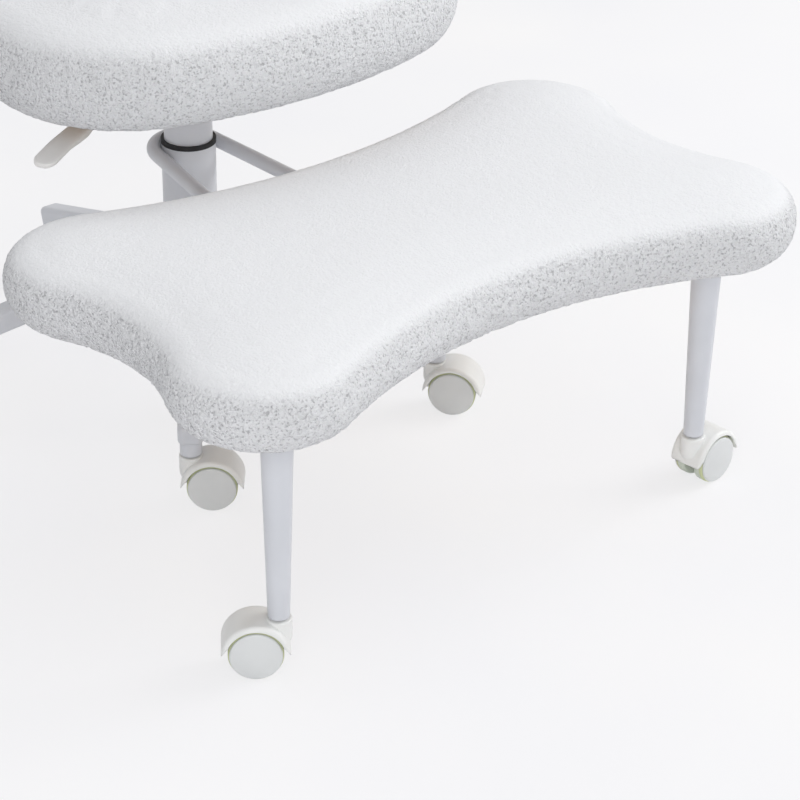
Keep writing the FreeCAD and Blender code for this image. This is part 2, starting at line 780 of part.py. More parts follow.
def make_sleeve():
    outside = cylinder("sleeve_outside", "sleeve_radius", f"sleeve_top - {SLEEVE_BOTTOM}", z=SLEEVE_BOTTOM)
    inside = cylinder("sleeve_inside", SLEEVE_BORE, f"sleeve_top - {SLEEVE_BOTTOM}", z=SLEEVE_BOTTOM)
    keep(cut("stool_sleeve", outside, inside), "stool_sleeve")
    make_bush("sleeve_upper_bush", "sleeve_top - bush_length", "sleeve_top")
    make_bush("sleeve_lower_bush", SLEEVE_BOTTOM, "hub_top + face_gap")


def hairpin(name, radius, length):
    """A bar bent round the sleeve's back, with two arms that spread towards the stool."""
    bend = bind(doc.addObject("Part::Torus", f"{name}_bend"), Radius1=ARM_LOOP, Radius2=radius)
    bind(bend, Angle3="(180 - 2 * arm_spread) * 1 deg")
    bend.Placement = FreeCAD.Placement(ORIGIN, FreeCAD.Rotation(Z_AXIS, value("arm_spread")))
    spread = math.radians(value("arm_spread"))
    arms = []
    for side, sign in SIDE_SIGN.items():
        heading = FreeCAD.Vector(sign * math.sin(spread), -math.cos(spread), 0)
        turn = FreeCAD.Rotation(Z_AXIS, heading)
        x = f"{sign} * {ARM_LOOP} * cos(arm_spread)"
        arms.append(cylinder(f"{name}_{side}", radius, length, x, f"{ARM_LOOP} * sin(arm_spread)", "0", turn))
    return fuse(name, bend, *arms)


def make_hairpin():
    outside = hairpin("hairpin_outside", "arm_radius", "arm_length")
    inside = hairpin("hairpin_inside", "arm_radius - arm_wall", "arm_length - arm_cap")
    tilt = FreeCAD.Rotation(X_AXIS, value(ARM_TILT))
    placement = FreeCAD.Placement(vector("0", "0", "arm_height"), tilt)
    keep(cut("stool_hairpin", outside, inside), "stool_hairpin", placement)


def mount_spots():
    return rectangle_spots("mount_screw_spacing_x", "mount_screw_spacing_y", "-mount_plate_reach")


def leg_spots(side):
    """The screws of a stool leg's flange."""
    return [
        (
            f"{SIDE_SIGN[side]} * (stool_leg_x + leg_screw_circle * cos({angle}))",
            f"-stool_leg_y + leg_screw_circle * sin({angle})",
        )
        for angle in LEG_SCREW_ANGLES
    ]


def sketch_rectangle(sketch, width, depth, draw_corner):
    """Four constrained points in a rectangle about the sketch's origin, each drawn by a function.

    The function draws what belongs at one corner and gives the geometry and point that stand there.
    """
    half = FreeCAD.Vector(value(width) / 2, value(depth) / 2, 0)
    points = [draw_corner(FreeCAD.Vector(sx * half.x, sy * half.y, 0)) for sx, sy in CORNER_SIGNS]
    for kind, pairs in (("Horizontal", ((0, 1), (3, 2))), ("Vertical", ((0, 3), (1, 2)))):
        for first, second in pairs:
            sketch.addConstraint(Sketcher.Constraint(kind, *points[first], *points[second]))
    sketch.addConstraint(Sketcher.Constraint("Symmetric", *points[0], *points[2], -1, 1))
    for kind, end, size, length in (("DistanceX", 1, width, 2 * half.x), ("DistanceY", 3, depth, 2 * half.y)):
        dimension = sketch.addConstraint(Sketcher.Constraint(kind, *points[0], *points[end], length))
        sketch.setExpression(f"Constraints[{dimension}]", sized(size))
    return points


def make_mount_plate():
    """A rectangular plate with a screw hole near each corner."""
    body = doc.addObject("PartDesign::Body", "stool_mount_plate")
    plan = body.newObject("Sketcher::SketchObject", "mount_plate_plan")
    plane = next(item for item in body.Origin.OriginFeatures if item.Role == "XY_Plane")
    plan.AttachmentSupport = [(plane, "")]
    plan.MapMode = "FlatFace"

    def corner(spot):
        return plan.addGeometry(Part.Point(spot), True), 1

    def hole(spot):
        circle = plan.addGeometry(Part.Circle(spot, Z_AXIS, value(SCREW_HOLE)))
        radius = plan.addConstraint(Sketcher.Constraint("Radius", circle, value(SCREW_HOLE)))
        plan.setExpression(f"Constraints[{radius}]", sized(SCREW_HOLE))
        return circle, 3

    corners = sketch_rectangle(plan, "mount_plate_width", "mount_plate_depth", corner)
    for here, there in zip(corners, corners[1:] + corners[:1]):
        ends = [plan.getPoint(*point) for point in (here, there)]
        side = plan.addGeometry(Part.LineSegment(*ends))
        plan.addConstraint(Sketcher.Constraint("Coincident", side, 1, *here))
        plan.addConstraint(Sketcher.Constraint("Coincident", side, 2, *there))
    sketch_rectangle(plan, "mount_screw_spacing_x", "mount_screw_spacing_y", hole)
    pad = body.newObject("PartDesign::Pad", "mount_plate_pad")
    pad.Profile = plan
    bind(pad, Length="mount_plate_thickness")
    place(body, "0", "-mount_plate_reach", MOUNT_PLATE_BOTTOM)
    keep(body, "stool_mount_plate")


def make_stool_leg(side):
    """A tapered tube with a round flange at its top and a solid, bored foot."""
    name = f"stool_leg_{side}"
    at = (f"{SIDE_SIGN[side]} * stool_leg_x", "-stool_leg_y")
    length = f"({MOUNT_PLATE_BOTTOM} - caster_height)"
    outside = cone(
        f"{name}_outside", "stool_leg_foot_radius", "stool_leg_top_radius", length, *at, "caster_height"
    )
    taper = f"(stool_leg_top_radius - stool_leg_foot_radius) / {length}"
    inside = cone(
        f"{name}_inside",
        f"stool_leg_foot_radius - stool_leg_wall + stool_leg_foot_solid * {taper}",
        "stool_leg_top_radius - stool_leg_wall",
        f"{length} - stool_leg_foot_solid",
        *at,
        "caster_height + stool_leg_foot_solid",
    )
    flange = cylinder(f"{name}_flange", "leg_flange_radius", "mount_plate_thickness", *at, MOUNT_PLATE_BOTTOM)
    body = fuse(f"{name}_body", cut(f"{name}_tube", outside, inside), flange)
    bore = cylinder(f"{name}_bore", "stem_radius + running_gap", "socket_bore_depth", *at, "caster_height")
    holes = rods(f"{name}_hole", leg_spots(side), SCREW_HOLE, MOUNT_PLATE_BOTTOM, "mount_plate_thickness")
    keep(cut(name, body, fuse(f"{name}_tools", bore, holes)), name)


def make_stool():
    make_sleeve()
    make_hairpin()
    make_mount_plate()
    for side in SIDE_SIGN:
        make_stool_leg(side)
    spots = mount_spots() + leg_spots("left") + leg_spots("right")
    screw_reach = "mount_plate_thickness + screw_length"
    screws = fasteners("stool_screw", "screw", spots, MOUNT_PLATE_BOTTOM, screw_reach)
    keep(group("stool_screws", screws), "stool_screws")
    arcs = stool_outline()
    bottom = value("stool_bottom")
    inset = value("stool_board_inset")
    board = board_shape(arcs, inset, bottom, spots, "screw_radius + running_gap")
    keep(solid("stool_board", board), "stool_board")
    keep(solid("stool_cushion", cushion_shape(arcs, "stool", bottom, inset)), "stool_cushion")
    stems = []
    for side in SIDE_SIGN:
        upright = FreeCAD.Placement(stool_leg_place(side), FreeCAD.Rotation())
        stems.append(make_stem(f"stool_stem_{side}", upright))
    keep(group("stool_caster_stems", stems), "stool_caster_stems")
    for side, heading in STOOL_CASTER_HEADINGS.items():
        make_caster(f"stool_caster_{side}", stool_leg_place(side), heading)


# Seat

def plate_spots():
    return rectangle_spots("plate_bolt_spacing_x", "plate_bolt_spacing_y")


def bracket_spots():
    first = "bracket_start + bracket_bolt_first"
    return [("0", first), ("0", f"{first} + bracket_bolt_step")]


def lever_frame(height, slope=0.0):
    """A frame at the lever's pivot whose +X runs out along the lever."""
    heading = FreeCAD.Rotation(Z_AXIS, value("lever_heading"))
    spot = heading.multVec(vector("lever_pivot_reach", "0", height))
    return FreeCAD.Placement(spot, heading.multiply(FreeCAD.Rotation(Y_AXIS, slope)))


def make_seat_plate():
    flange = slab("plate_flange", "plate_width", "plate_depth", "plate_thickness", PLATE_BOTTOM)
    dish = slab("plate_dish", "dish_width", "dish_depth", "dish_height", "seat_bottom - dish_height")
    hollow = slab(
        "plate_hollow",
        "dish_width - 2 * plate_thickness",
        "dish_depth - 2 * plate_thickness",
        "dish_height - plate_thickness",
        DISH_FLOOR,
    )
    pressed = cut("plate_pressed", fuse("plate_blank", flange, dish), hollow)
    socket = cylinder("plate_socket", "taper_socket_radius", "taper_socket_length", z=SOCKET_BOTTOM)
    ear_size = ("2 * ear_half_width", "ear_thickness", f"{PIVOT_HEIGHT} - {DISH_FLOOR} + ear_half_width")
    ears = [
        box(f"plate_ear_{side}", *ear_size, "-ear_half_width", start, "0")
        for side, start in (("left", EAR_START), ("right", f"-{EAR_START} - ear_thickness"))
    ]
    ear_pair = fuse("plate_ears", *ears)
    ear_pair.Placement = lever_frame(DISH_FLOOR)
    ear_bore = cylinder(
        "plate_ear_bore",
        "lever_pin_radius + running_gap",
        f"2 * {EAR_START} + 2 * ear_thickness",
        "0",
        f"-{EAR_START} - ear_thickness",
        "0",
        ALONG_Y,
    )
    slot_half = "(lever_rod_radius + lever_slot_side)"
    slot_drop = "(dish_width / 2 * tan(lever_slope))"
    slot = box(
        "plate_lever_slot",
        "dish_width / 2",
        f"2 * {slot_half}",
        f"2 * {slot_half} + {slot_drop}",
        "2 * ear_half_width",
        f"-{slot_half}",
        f"-{slot_half} - {slot_drop}",
    )
    lever_tools = fuse("plate_lever_tools", ear_bore, slot)
    lever_tools.Placement = lever_frame(PIVOT_HEIGHT)
    bolt_holes = rods("plate_bolt_hole", plate_spots(), BOLT_HOLE, PLATE_BOTTOM, "plate_thickness")
    tools = fuse("plate_tools", taper_outside("plate_taper", "running_gap"), lever_tools, bolt_holes)
    keep(cut("seat_plate", fuse("plate_body", pressed, socket, ear_pair), tools), "seat_plate")


def make_lever():
    """The lever's rod with its cross pin, and the moulded paddle on the rod's outer end."""
    placement = lever_frame(PIVOT_HEIGHT, value("lever_slope"))
    rod_length = "lever_rod_inside + lever_rod_outside"
    rod = cylinder("lever_bar", "lever_rod_radius", rod_length, "-lever_rod_inside", turn=ALONG_X)
    pin = cylinder(
        "lever_cross_pin", "lever_pin_radius", "lever_pin_length", y="-lever_pin_length / 2", turn=ALONG_Y
    )
    keep(fuse("lever_rod", rod, pin), "lever_rod", placement)

    grip = cylinder("paddle_grip", "grip_radius", "grip_end - grip_start", "grip_start", turn=ALONG_X)
    under = "-blade_thickness / 2"
    blade_size = ("blade_length", "blade_width", "blade_thickness")
    blade = box("paddle_blade", *blade_size, "0", "-blade_width / 2", under)
    tip = cylinder("paddle_tip", "blade_width / 2", "blade_thickness", "blade_length", z=under)
    flat = fuse("paddle_flat", blade, tip)
    flat.Placement = FreeCAD.Placement(
        vector("lever_rod_outside", "0", "0"), FreeCAD.Rotation(Y_AXIS, value("blade_droop"))
    )
    bore_length = "lever_rod_outside - grip_start + face_gap"
    bore = cylinder("paddle_bore", "lever_rod_radius + running_gap", bore_length, "grip_start", turn=ALONG_X)
    keep(cut("lever_paddle", fuse("paddle_solid", grip, flat), bore), "lever_paddle", placement)


def make_seat():
    make_seat_plate()
    make_lever()
    bolts = fasteners("plate_bolt", "bolt", plate_spots(), PLATE_BOTTOM, "plate_thickness + bolt_bite")
    bolts += fasteners("bracket_bolt", "bolt", bracket_spots(), BRACKET_BOTTOM, BRACKET_BOLT_REACH)
    keep(group("seat_bolts", bolts), "seat_bolts")
    arcs = bowed_outline(*(value(f"seat_{key}") for key in (
        "half_width", "front", "back", "front_bow", "back_bow", "front_corner", "back_corner"
    )))
    bottom = value("seat_bottom")
    inset = value("seat_board_inset")
    board = board_shape(arcs, inset, bottom, plate_spots() + bracket_spots(), "bolt_radius + running_gap")
    keep(solid("seat_board", board), "seat_board")
    keep(solid("seat_cushion", cushion_shape(arcs, "seat", bottom, inset)), "seat_cushion")


# Backrest

def upright_frame(rise):
    """A frame on the bracket's front face: +Y runs up the upright and +Z points at the sitter."""
    turn = FreeCAD.Rotation(X_AXIS, 90 - value("bracket_lean"))
    bend = vector("0", BEND_END, BEND_CENTRE)
    return FreeCAD.Placement(bend + turn.multVec(vector("0", rise, "-bracket_bend")), turn)


def back_spots():
    return [("0", f"{number} * back_bolt_step") for number in (-1, 0, 1)]


def make_back():
    left = "-bracket_width / 2"
    run_size = ("bracket_width", "bracket_run", "bracket_thickness")
    run = box("bracket_run_bar", *run_size, left, "bracket_start", BRACKET_BOTTOM)
    bend_size = ("bracket_width", "90 - bracket_lean", left, BEND_END, BEND_CENTRE, ALONG_X)
    bend_outside = sector("bend_outside", "bracket_bend + bracket_thickness", *bend_size)
    bend = cut("bracket_bend_bar", bend_outside, sector("bend_inside", "bracket_bend", *bend_size))
    upright_size = ("bracket_width", "bracket_upright", "bracket_thickness")
    upright = box("bracket_upright_bar", *upright_size, left, "0", "-bracket_thickness")
    upright_bar = group("bracket_upright_turned", [upright])
    upright_bar.Placement = upright_frame("0")
    run_holes = rods("bracket_hole", bracket_spots(), BOLT_HOLE, BRACKET_BOTTOM, "bracket_thickness")
    back_holes = rods("bracket_back_hole", back_spots(), BOLT_HOLE, "-bracket_thickness", "bracket_thickness")
    middle = upright_frame("back_rise")
    back_holes.Placement = middle
    bar = fuse("bracket_bar", run, bend, upright_bar)
    keep(cut("back_bracket", bar, fuse("bracket_holes", run_holes, back_holes)), "back_bracket")

    bolts = fasteners("back_bolt", "bolt", back_spots(), "-bracket_thickness", BRACKET_BOLT_REACH)
    keep(group("back_bolts", bolts), "back_bolts", middle)
    half_width, half_height, bow, corner = (
        value(f"back_{key}") for key in ("half_width", "half_height", "side_bow", "corner")
    )
    arcs = bowed_outline(half_width, half_height, half_height, bow, bow, corner, corner)
    inset = value("back_board_inset")
    board = board_shape(arcs, inset, 0, back_spots(), "bolt_radius + running_gap")
    keep(solid("back_board", board), "back_board", middle)
    keep(solid("back_cushion", cushion_shape(arcs, "back", 0, inset)), "back_cushion", middle)


def write_parts():
    """Checks every object and every piece's shape, then writes one file per piece."""
    doc.recompute()
    failed = [item.Name for item in doc.Objects if {"Invalid", "Error"} & set(item.State)]
    if failed:
        raise RuntimeError(f"failed objects: {failed}")
    for piece in subparts:
        if piece.Shape.isNull() or not piece.Shape.isValid() or not piece.Shape.Solids:
            raise RuntimeError(f"bad shape: {piece.Label}")
    os.makedirs("parts", exist_ok=True)
    for piece in subparts:
        piece.Shape.exportStep(os.path.join("parts", piece.Label + ".step"))
    print(len(subparts), "pieces written")


make_gas_tube()
make_guide_bush()
make_rod()
make_gas_cylinder()
make_base()
make_stool()
make_seat()
make_back()
write_parts()
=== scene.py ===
# %% [markdown]
# # A cross-legged office chair, dressed
# The real chair is a fleece seat on a gas lift, and a lobed fleece foot stool that turns round the
# same column on a sleeve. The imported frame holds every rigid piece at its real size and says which
# body carries it. So this lesson adds what a frame can't hold: padded covers with a looped pile,
# turned wheels, and a finish for each surface. Lengths are metres, +Z is up, the stool lies
# towards -Y and +X is the sitter's left.

# %% Load the frame
import itertools
import json
import math

import bmesh
import bpy
import numpy as np
from mathutils import Matrix, Vector


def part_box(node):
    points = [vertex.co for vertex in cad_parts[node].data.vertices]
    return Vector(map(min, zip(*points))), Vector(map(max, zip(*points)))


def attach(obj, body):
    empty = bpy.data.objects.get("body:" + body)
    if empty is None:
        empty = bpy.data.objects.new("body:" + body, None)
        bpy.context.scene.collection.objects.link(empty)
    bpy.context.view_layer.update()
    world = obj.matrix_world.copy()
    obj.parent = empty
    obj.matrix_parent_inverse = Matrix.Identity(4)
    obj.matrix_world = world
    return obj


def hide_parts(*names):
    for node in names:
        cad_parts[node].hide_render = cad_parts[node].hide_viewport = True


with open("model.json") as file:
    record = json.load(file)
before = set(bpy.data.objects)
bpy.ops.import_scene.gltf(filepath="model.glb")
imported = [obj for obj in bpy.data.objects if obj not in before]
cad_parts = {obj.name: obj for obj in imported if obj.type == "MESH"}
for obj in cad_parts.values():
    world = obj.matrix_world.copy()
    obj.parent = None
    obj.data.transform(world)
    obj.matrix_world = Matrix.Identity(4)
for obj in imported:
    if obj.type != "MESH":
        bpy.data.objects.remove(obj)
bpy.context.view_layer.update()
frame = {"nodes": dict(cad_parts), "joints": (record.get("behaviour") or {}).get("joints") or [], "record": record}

scene = bpy.context.scene
nodes = frame["nodes"]
record = frame["record"]
slot_of = {part["node"]: part["material_slot"] for part in record["subparts"]}
body_of = {node: body for body, members in record["behaviour"]["bodies"].items() for node in members}
joint_named = {joint["name"]: joint for joint in frame["joints"]}

# %% [markdown]
# ## Camera
# The picture was taken with a long lens from the front left, about 30 degrees above the floor. A
# camera could be placed by eye, but an azimuth, an elevation and a distance to one point are easier
# to correct, so its matrix is worked out from those. A small roll levels it as the picture is.

# %% Camera at the picture's angle
IMAGE_SIDE = 800
FOCAL_PIXELS = 2541
SENSOR_WIDTH = 36
VIEW_AZIMUTH = math.radians(-39.9)
VIEW_ELEVATION = math.radians(29.5)
VIEW_ROLL = math.radians(0.9)
VIEW_DISTANCE = 2.754
VIEW_TARGET = Vector((0.1696, -0.1418, -0.0307))
VIEW_REACH = 30


def view_axes(azimuth, elevation, roll):
    """Right, up and back directions of a camera that looks along +Y at azimuth 0."""
    level = math.cos(elevation)
    back = Vector((math.sin(azimuth) * level, -math.cos(azimuth) * level, math.sin(elevation)))
    right = Vector((math.cos(azimuth), math.sin(azimuth), 0))
    up = back.cross(right)
    turned_right = right * math.cos(roll) + up * math.sin(roll)
    turned_up = up * math.cos(roll) - right * math.sin(roll)
    return turned_right, turned_up, back


def standing_at(point, right, up, back):
    """The matrix of an object at that point with those axes."""
    turn = Matrix((right, up, back)).transposed().to_4x4()
    return Matrix.Translation(point) @ turn


view_right, view_up, view_back = view_axes(VIEW_AZIMUTH, VIEW_ELEVATION, VIEW_ROLL)
lens = bpy.data.cameras.new("camera")
lens.sensor_width = SENSOR_WIDTH
lens.lens = FOCAL_PIXELS / IMAGE_SIDE * SENSOR_WIDTH
lens.clip_end = VIEW_REACH
camera = bpy.data.objects.new("camera", lens)
camera.matrix_world = standing_at(
    VIEW_TARGET + view_back * VIEW_DISTANCE, view_right, view_up, view_back
)
scene.collection.objects.link(camera)
scene.camera = camera
print(f"lens {lens.lens:.1f} mm at", tuple(round(x, 3) for x in camera.location))

# %% [markdown]
# ## Node helpers
# Every finish below is a small tree of shader nodes. A tree can be drawn by hand in the editor, but
# in a script each node takes three or four lines. A few helpers cut that to one call: an input is a
# number, a colour, or the output socket of another node.

# %% Helpers for shader trees
NOISE_LOW, NOISE_HIGH = 0.25, 0.75
CLOUD_FROM, CLOUD_TO = 0.35, 0.65


def wire(tree, kind, inputs=None, **choices):
    """Adds a node to the tree, with its choices set and its inputs filled or linked."""
    made = tree.nodes.new(kind)
    for name, choice in choices.items():
        setattr(made, name, choice)
    for name, given in (inputs or {}).items():
        if isinstance(given, bpy.types.NodeSocket):
            tree.links.new(given, made.inputs[name])
        else:
            made.inputs[name].default_value = given
    return made


def ramp(tree, driver, *stops):
    """A colour ramp over the driver, from (position, (red, green, blue)) stops."""
    made = wire(tree, "ShaderNodeValToRGB", {"Fac": driver})
    points = made.color_ramp.elements
    while len(points) < len(stops):
        points.new(0.5)
    for point, (position, colour) in zip(points, stops):
        point.position = position
        point.color = (*colour, 1)
    return made.outputs["Color"]


def new_finish(name, sockets):
    """A material, its tree and its shader, with the shader's even values set on its sockets."""
    material = bpy.data.materials.new(name)
    material.use_nodes = True
    tree = material.node_tree
    shader = tree.nodes["Principled BSDF"]
    for socket, number in sockets.items():
        shader.inputs[socket].default_value = number
    return material, tree, shader


def grain(tree, scale, detail=2.0, roughness=0.5, stretch=(1, 1, 1)):
    """Noise over the surface in the row frame: scale is in features for each metre."""
    place = wire(tree, "ShaderNodeTexCoord").outputs["Object"]
    stretched = wire(tree, "ShaderNodeMapping", {"Vector": place, "Scale": stretch})
    noise = wire(
        tree, "ShaderNodeTexNoise",
        {"Vector": stretched.outputs["Vector"], "Scale": scale, "Detail": detail, "Roughness": roughness},
    )
    return noise.outputs["Fac"]


def spread(tree, driver, low, high):
    """The driver's middle half stretched between two numbers."""
    span = {"From Min": NOISE_LOW, "From Max": NOISE_HIGH, "To Min": low, "To Max": high}
    made = wire(tree, "ShaderNodeMapRange", {"Value": driver, **span})
    return made.outputs["Result"]


def clouded(tree, shader, tints, tint_grain, gloss, gloss_grain):
    """Soft clouds of two tints on the shader, and a roughness that wanders between two numbers."""
    dark, light = tints
    tint = ramp(tree, tint_grain, (CLOUD_FROM, dark), (CLOUD_TO, light))
    tree.links.new(tint, shader.inputs["Base Color"])
    tree.links.new(spread(tree, gloss_grain, *gloss), shader.inputs["Roughness"])


def relief(tree, shader, height, depth, strength=1.0, edge=0.0):
    """Fine relief of that depth in metres on the shader's normal, over edges rounded by a radius."""
    bump = wire(tree, "ShaderNodeBump", {"Height": height, "Distance": depth, "Strength": strength})
    if edge:
        rounded = wire(tree, "ShaderNodeBevel", {"Radius": edge})
        tree.links.new(rounded.outputs["Normal"], bump.inputs["Normal"])
    tree.links.new(bump.outputs["Normal"], shader.inputs["Normal"])


def summed(tree, first, second, operation="ADD", clamped=False):
    """Two numbers or sockets put together by a sum or another operation."""
    made = wire(tree, "ShaderNodeMath", {0: first, 1: second}, operation=operation, use_clamp=clamped)
    return made.outputs["Value"]


print("shader helpers ready")

# %% [markdown]
# ## From a built shape to a piece
# The floor, the covers, the wheels and the paddle are built in memory, where corners and faces are easy
# to reach, and shown only when they are complete. One helper does that last part for all of them.

# %% Helper for built shapes
def piece_from(shape, name):
    """A new piece in the scene from a built shape, which is used up."""
    mesh = bpy.data.meshes.new(name)
    shape.to_mesh(mesh)
    shape.free()
    piece = bpy.data.objects.new(name, mesh)
    scene.collection.objects.link(piece)
    return piece


print("built shapes can be shown")

# %% [markdown]
# ## Floor and light
# A product picture has a pale sweep and large soft boxes, so that white fabric keeps its shape
# without hard shadows. More lamps would bleach the fabric before the sweep was pale enough, so what
# the camera sees of the sweep is partly a glow of its own. The rest of it still takes the shadow.

# %% Floor
FLOOR_SIDE = 14.0
FLOOR_CELLS = 8
FLOOR_CLOUDS = 2.5
FLOOR_TINTS = ((0.30, (0.885, 0.885, 0.905)), (0.70, (0.915, 0.910, 0.915)))
FLOOR_GLOW = 0.75
GLOW_STRENGTH = 1.07


def seen_share(tree, share):
    """The share where a surface is seen, straight or mirrored, and 0 where it only gives light."""
    path = wire(tree, "ShaderNodeLightPath").outputs
    seen = summed(tree, path["Is Camera Ray"], path["Is Glossy Ray"])
    seen = summed(tree, seen, path["Is Transmission Ray"], clamped=True)
    return summed(tree, seen, share, "MULTIPLY")


def floor_finish():
    material, tree, shader = new_finish("floor_sweep", {"Roughness": 0.9, "Specular IOR Level": 0.1})
    tint = ramp(tree, grain(tree, FLOOR_CLOUDS), *FLOOR_TINTS)
    tree.links.new(tint, shader.inputs["Base Color"])
    glow = wire(tree, "ShaderNodeEmission", {"Color": tint, "Strength": GLOW_STRENGTH})
    mixed = wire(
        tree, "ShaderNodeMixShader",
        {"Fac": seen_share(tree, FLOOR_GLOW), 1: shader.outputs["BSDF"], 2: glow.outputs["Emission"]},
    )
    tree.links.new(mixed.outputs["Shader"], tree.nodes["Material Output"].inputs["Surface"])
    return material


def floor_sheet():
    sheet = bmesh.new()
    bmesh.ops.create_grid(sheet, x_segments=FLOOR_CELLS, y_segments=FLOOR_CELLS, size=FLOOR_SIDE / 2)
    floor = piece_from(sheet, "floor")
    floor.data.materials.append(floor_finish())
    return floor


floor_sheet()
print(f"floor {FLOOR_SIDE:g} m wide")

# %% [markdown]
# Two large boxes stand low, one beside the camera and one well to its right, so the sides of the
# cushions are nearly as light as their tops and the round legs get a soft turn of shade. A weak box
# overhead and one behind lift the top edges, and an even sky fills the rest. Harder light would burn
# the tops out.

# %% Soft light
SKY_COLOUR = (0.97, 0.98, 1.0)
SKY_STRENGTH = 0.42
BACKDROP = (0.89, 0.89, 0.905)
LAMP_TARGET = Vector((0.05, -0.2, 0.3))
LAMPS = {
    # name: (heading from +X in degrees, height in degrees, distance, side, watts)
    "top_box": (-60, 82, 2.4, 1.8, 7.5),
    "key_box": (-20, 30, 2.8, 1.5, 40),
    "fill_box": (-130, 24, 3.0, 1.8, 30),
    "rim_box": (105, 45, 2.8, 1.4, 7),
}


def soft_box(name, heading, height, distance, side, watts):
    """A square lamp on a sphere round the chair that faces its middle."""
    right, up, back = view_axes(math.radians(heading + 90), math.radians(height), 0)
    lamp = bpy.data.lights.new(name, "AREA")
    lamp.shape = "SQUARE"
    lamp.size = side
    lamp.energy = watts
    placed = bpy.data.objects.new(name, lamp)
    placed.matrix_world = standing_at(LAMP_TARGET + back * distance, right, up, back)
    scene.collection.objects.link(placed)


for lamp_name, settings in LAMPS.items():
    soft_box(lamp_name, *settings)
sky = bpy.data.worlds.new("studio")
sky.use_nodes = True
sky_tree = sky.node_tree
sky_light = sky_tree.nodes["Background"]
sky_light.inputs["Color"].default_value = (*SKY_COLOUR, 1)
sky_light.inputs["Strength"].default_value = SKY_STRENGTH
backdrop = wire(sky_tree, "ShaderNodeBackground", {"Color": (*BACKDROP, 1)})
sky_mix = wire(
    sky_tree, "ShaderNodeMixShader",
    {"Fac": seen_share(sky_tree, 1.0), 1: sky_light.outputs[0], 2: backdrop.outputs[0]},
)
sky_tree.links.new(sky_mix.outputs["Shader"], sky_tree.nodes["World Output"].inputs["Surface"])
scene.world = sky
scene.view_settings.view_transform = "Standard"
print(f"{len(LAMPS)} soft boxes under a sky of {SKY_STRENGTH}")

# %% [markdown]
# ## Painted steel
# The tubes, hub, sleeve and plates are steel with a baked powder coat, a cool near-white. Powder
# flows into a faint orange peel about a millimetre across, and its gloss wanders a little. A clean
# colour would look like plastic, so three noises drive tint, gloss and relief. Paint also rounds a
# cut edge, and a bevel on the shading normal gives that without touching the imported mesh.

# %% Powder-coat finish
PAINTS = {
    # finish: ((dark tint, light tint), (least roughness, greatest roughness))
    "grey_paint": (((0.645, 0.66, 0.70), (0.685, 0.70, 0.74)), (0.36, 0.46)),
    "black_paint": (((0.010, 0.010, 0.011), (0.016, 0.016, 0.018)), (0.18, 0.3)),
}
PAINT_CLOUDS = 14
PAINT_GLOSS_CLOUDS = 60
PEEL_SCALE = 900
PEEL_DEPTH = 0.00006
PEEL_STRENGTH = 0.5
PAINT_EDGE = 0.0008


def paint_finish(name, tints, gloss):
    material, tree, shader = new_finish(name, {"IOR": 1.5, "Coat Weight": 0.15, "Coat Roughness": 0.25})
    tint_grain = grain(tree, PAINT_CLOUDS, detail=4)
    clouded(tree, shader, tints, tint_grain, gloss, grain(tree, PAINT_GLOSS_CLOUDS, detail=3))
    relief(tree, shader, grain(tree, PEEL_SCALE), PEEL_DEPTH, PEEL_STRENGTH, PAINT_EDGE)
    return material


finishes = {paint: paint_finish(paint, *look) for paint, look in PAINTS.items()}
print("powder coats:", ", ".join(finishes))

# %% [markdown]
# ## Moulded plastics
# The caster hoods and wheel discs are moulded in a near-white grey, the wheels run on a softer grey-green tread,
# the lever is a warmer grey, and the bushes are black. The tread's shoulder and the wall of the groove beside the
# disc are a darker olive, which is painted shade of that groove on a yellow-green tint. Each mould is sparked, so
# its skin has a fine even texture, and no moulded edge is sharp. One function takes two tints and the texture's
# size.

# %% Plastic finishes
PLASTICS = {
    # finish: ((dark tint, light tint), (least roughness, greatest), texture's scale, texture's depth)
    "hood_plastic": (((0.845, 0.85, 0.835), (0.875, 0.88, 0.865)), (0.34, 0.44), 1500, 0.00003),
    "wheel_plastic": (((0.715, 0.73, 0.73), (0.75, 0.765, 0.765)), (0.30, 0.40), 1500, 0.00003),
    "lever_plastic": (((0.80, 0.785, 0.765), (0.84, 0.825, 0.805)), (0.42, 0.52), 1300, 0.00004),
    "black_plastic": (((0.006, 0.006, 0.007), (0.010, 0.010, 0.011)), (0.55, 0.68), 1200, 0.00004),
    "wheel_tread": (((0.62, 0.67, 0.58), (0.67, 0.72, 0.63)), (0.5, 0.6), 1100, 0.00005),
    # Darker olive than the tread: painted shade of the groove beside the disc, on the tread's yellow-green tint.
    "wheel_shoulder_groove_shade": (((0.58, 0.62, 0.36), (0.64, 0.68, 0.42)), (0.5, 0.6), 1100, 0.00005),
}
MOULD_CLOUDS = 30
MOULD_GLOSS_CLOUDS = 90
MOULD_STRENGTH = 0.6
MOULD_EDGE = 0.0012


def plastic_finish(name, tints, gloss, texture_scale, texture_depth):
    material, tree, shader = new_finish(name, {"IOR": 1.49})
    tint_grain = grain(tree, MOULD_CLOUDS, detail=3)
    clouded(tree, shader, tints, tint_grain, gloss, grain(tree, MOULD_GLOSS_CLOUDS, detail=3))
    texture = grain(tree, texture_scale, detail=1)
    relief(tree, shader, texture, texture_depth, MOULD_STRENGTH, MOULD_EDGE)
    return material


for plastic, look in PLASTICS.items():
    finishes[plastic] = plastic_finish(plastic, *look)
print("plastics:", ", ".join(PLASTICS))

# %% [markdown]
# ## Bare steel and plywood
# Bolts, stems and axles are zinc plated, which leaves cloudy patches of gloss. The boards under the
# padding are birch ply: long grain on the faces and thin layers on the edges. Both patterns follow
# the row frame's axes, so no unwrapping is needed.

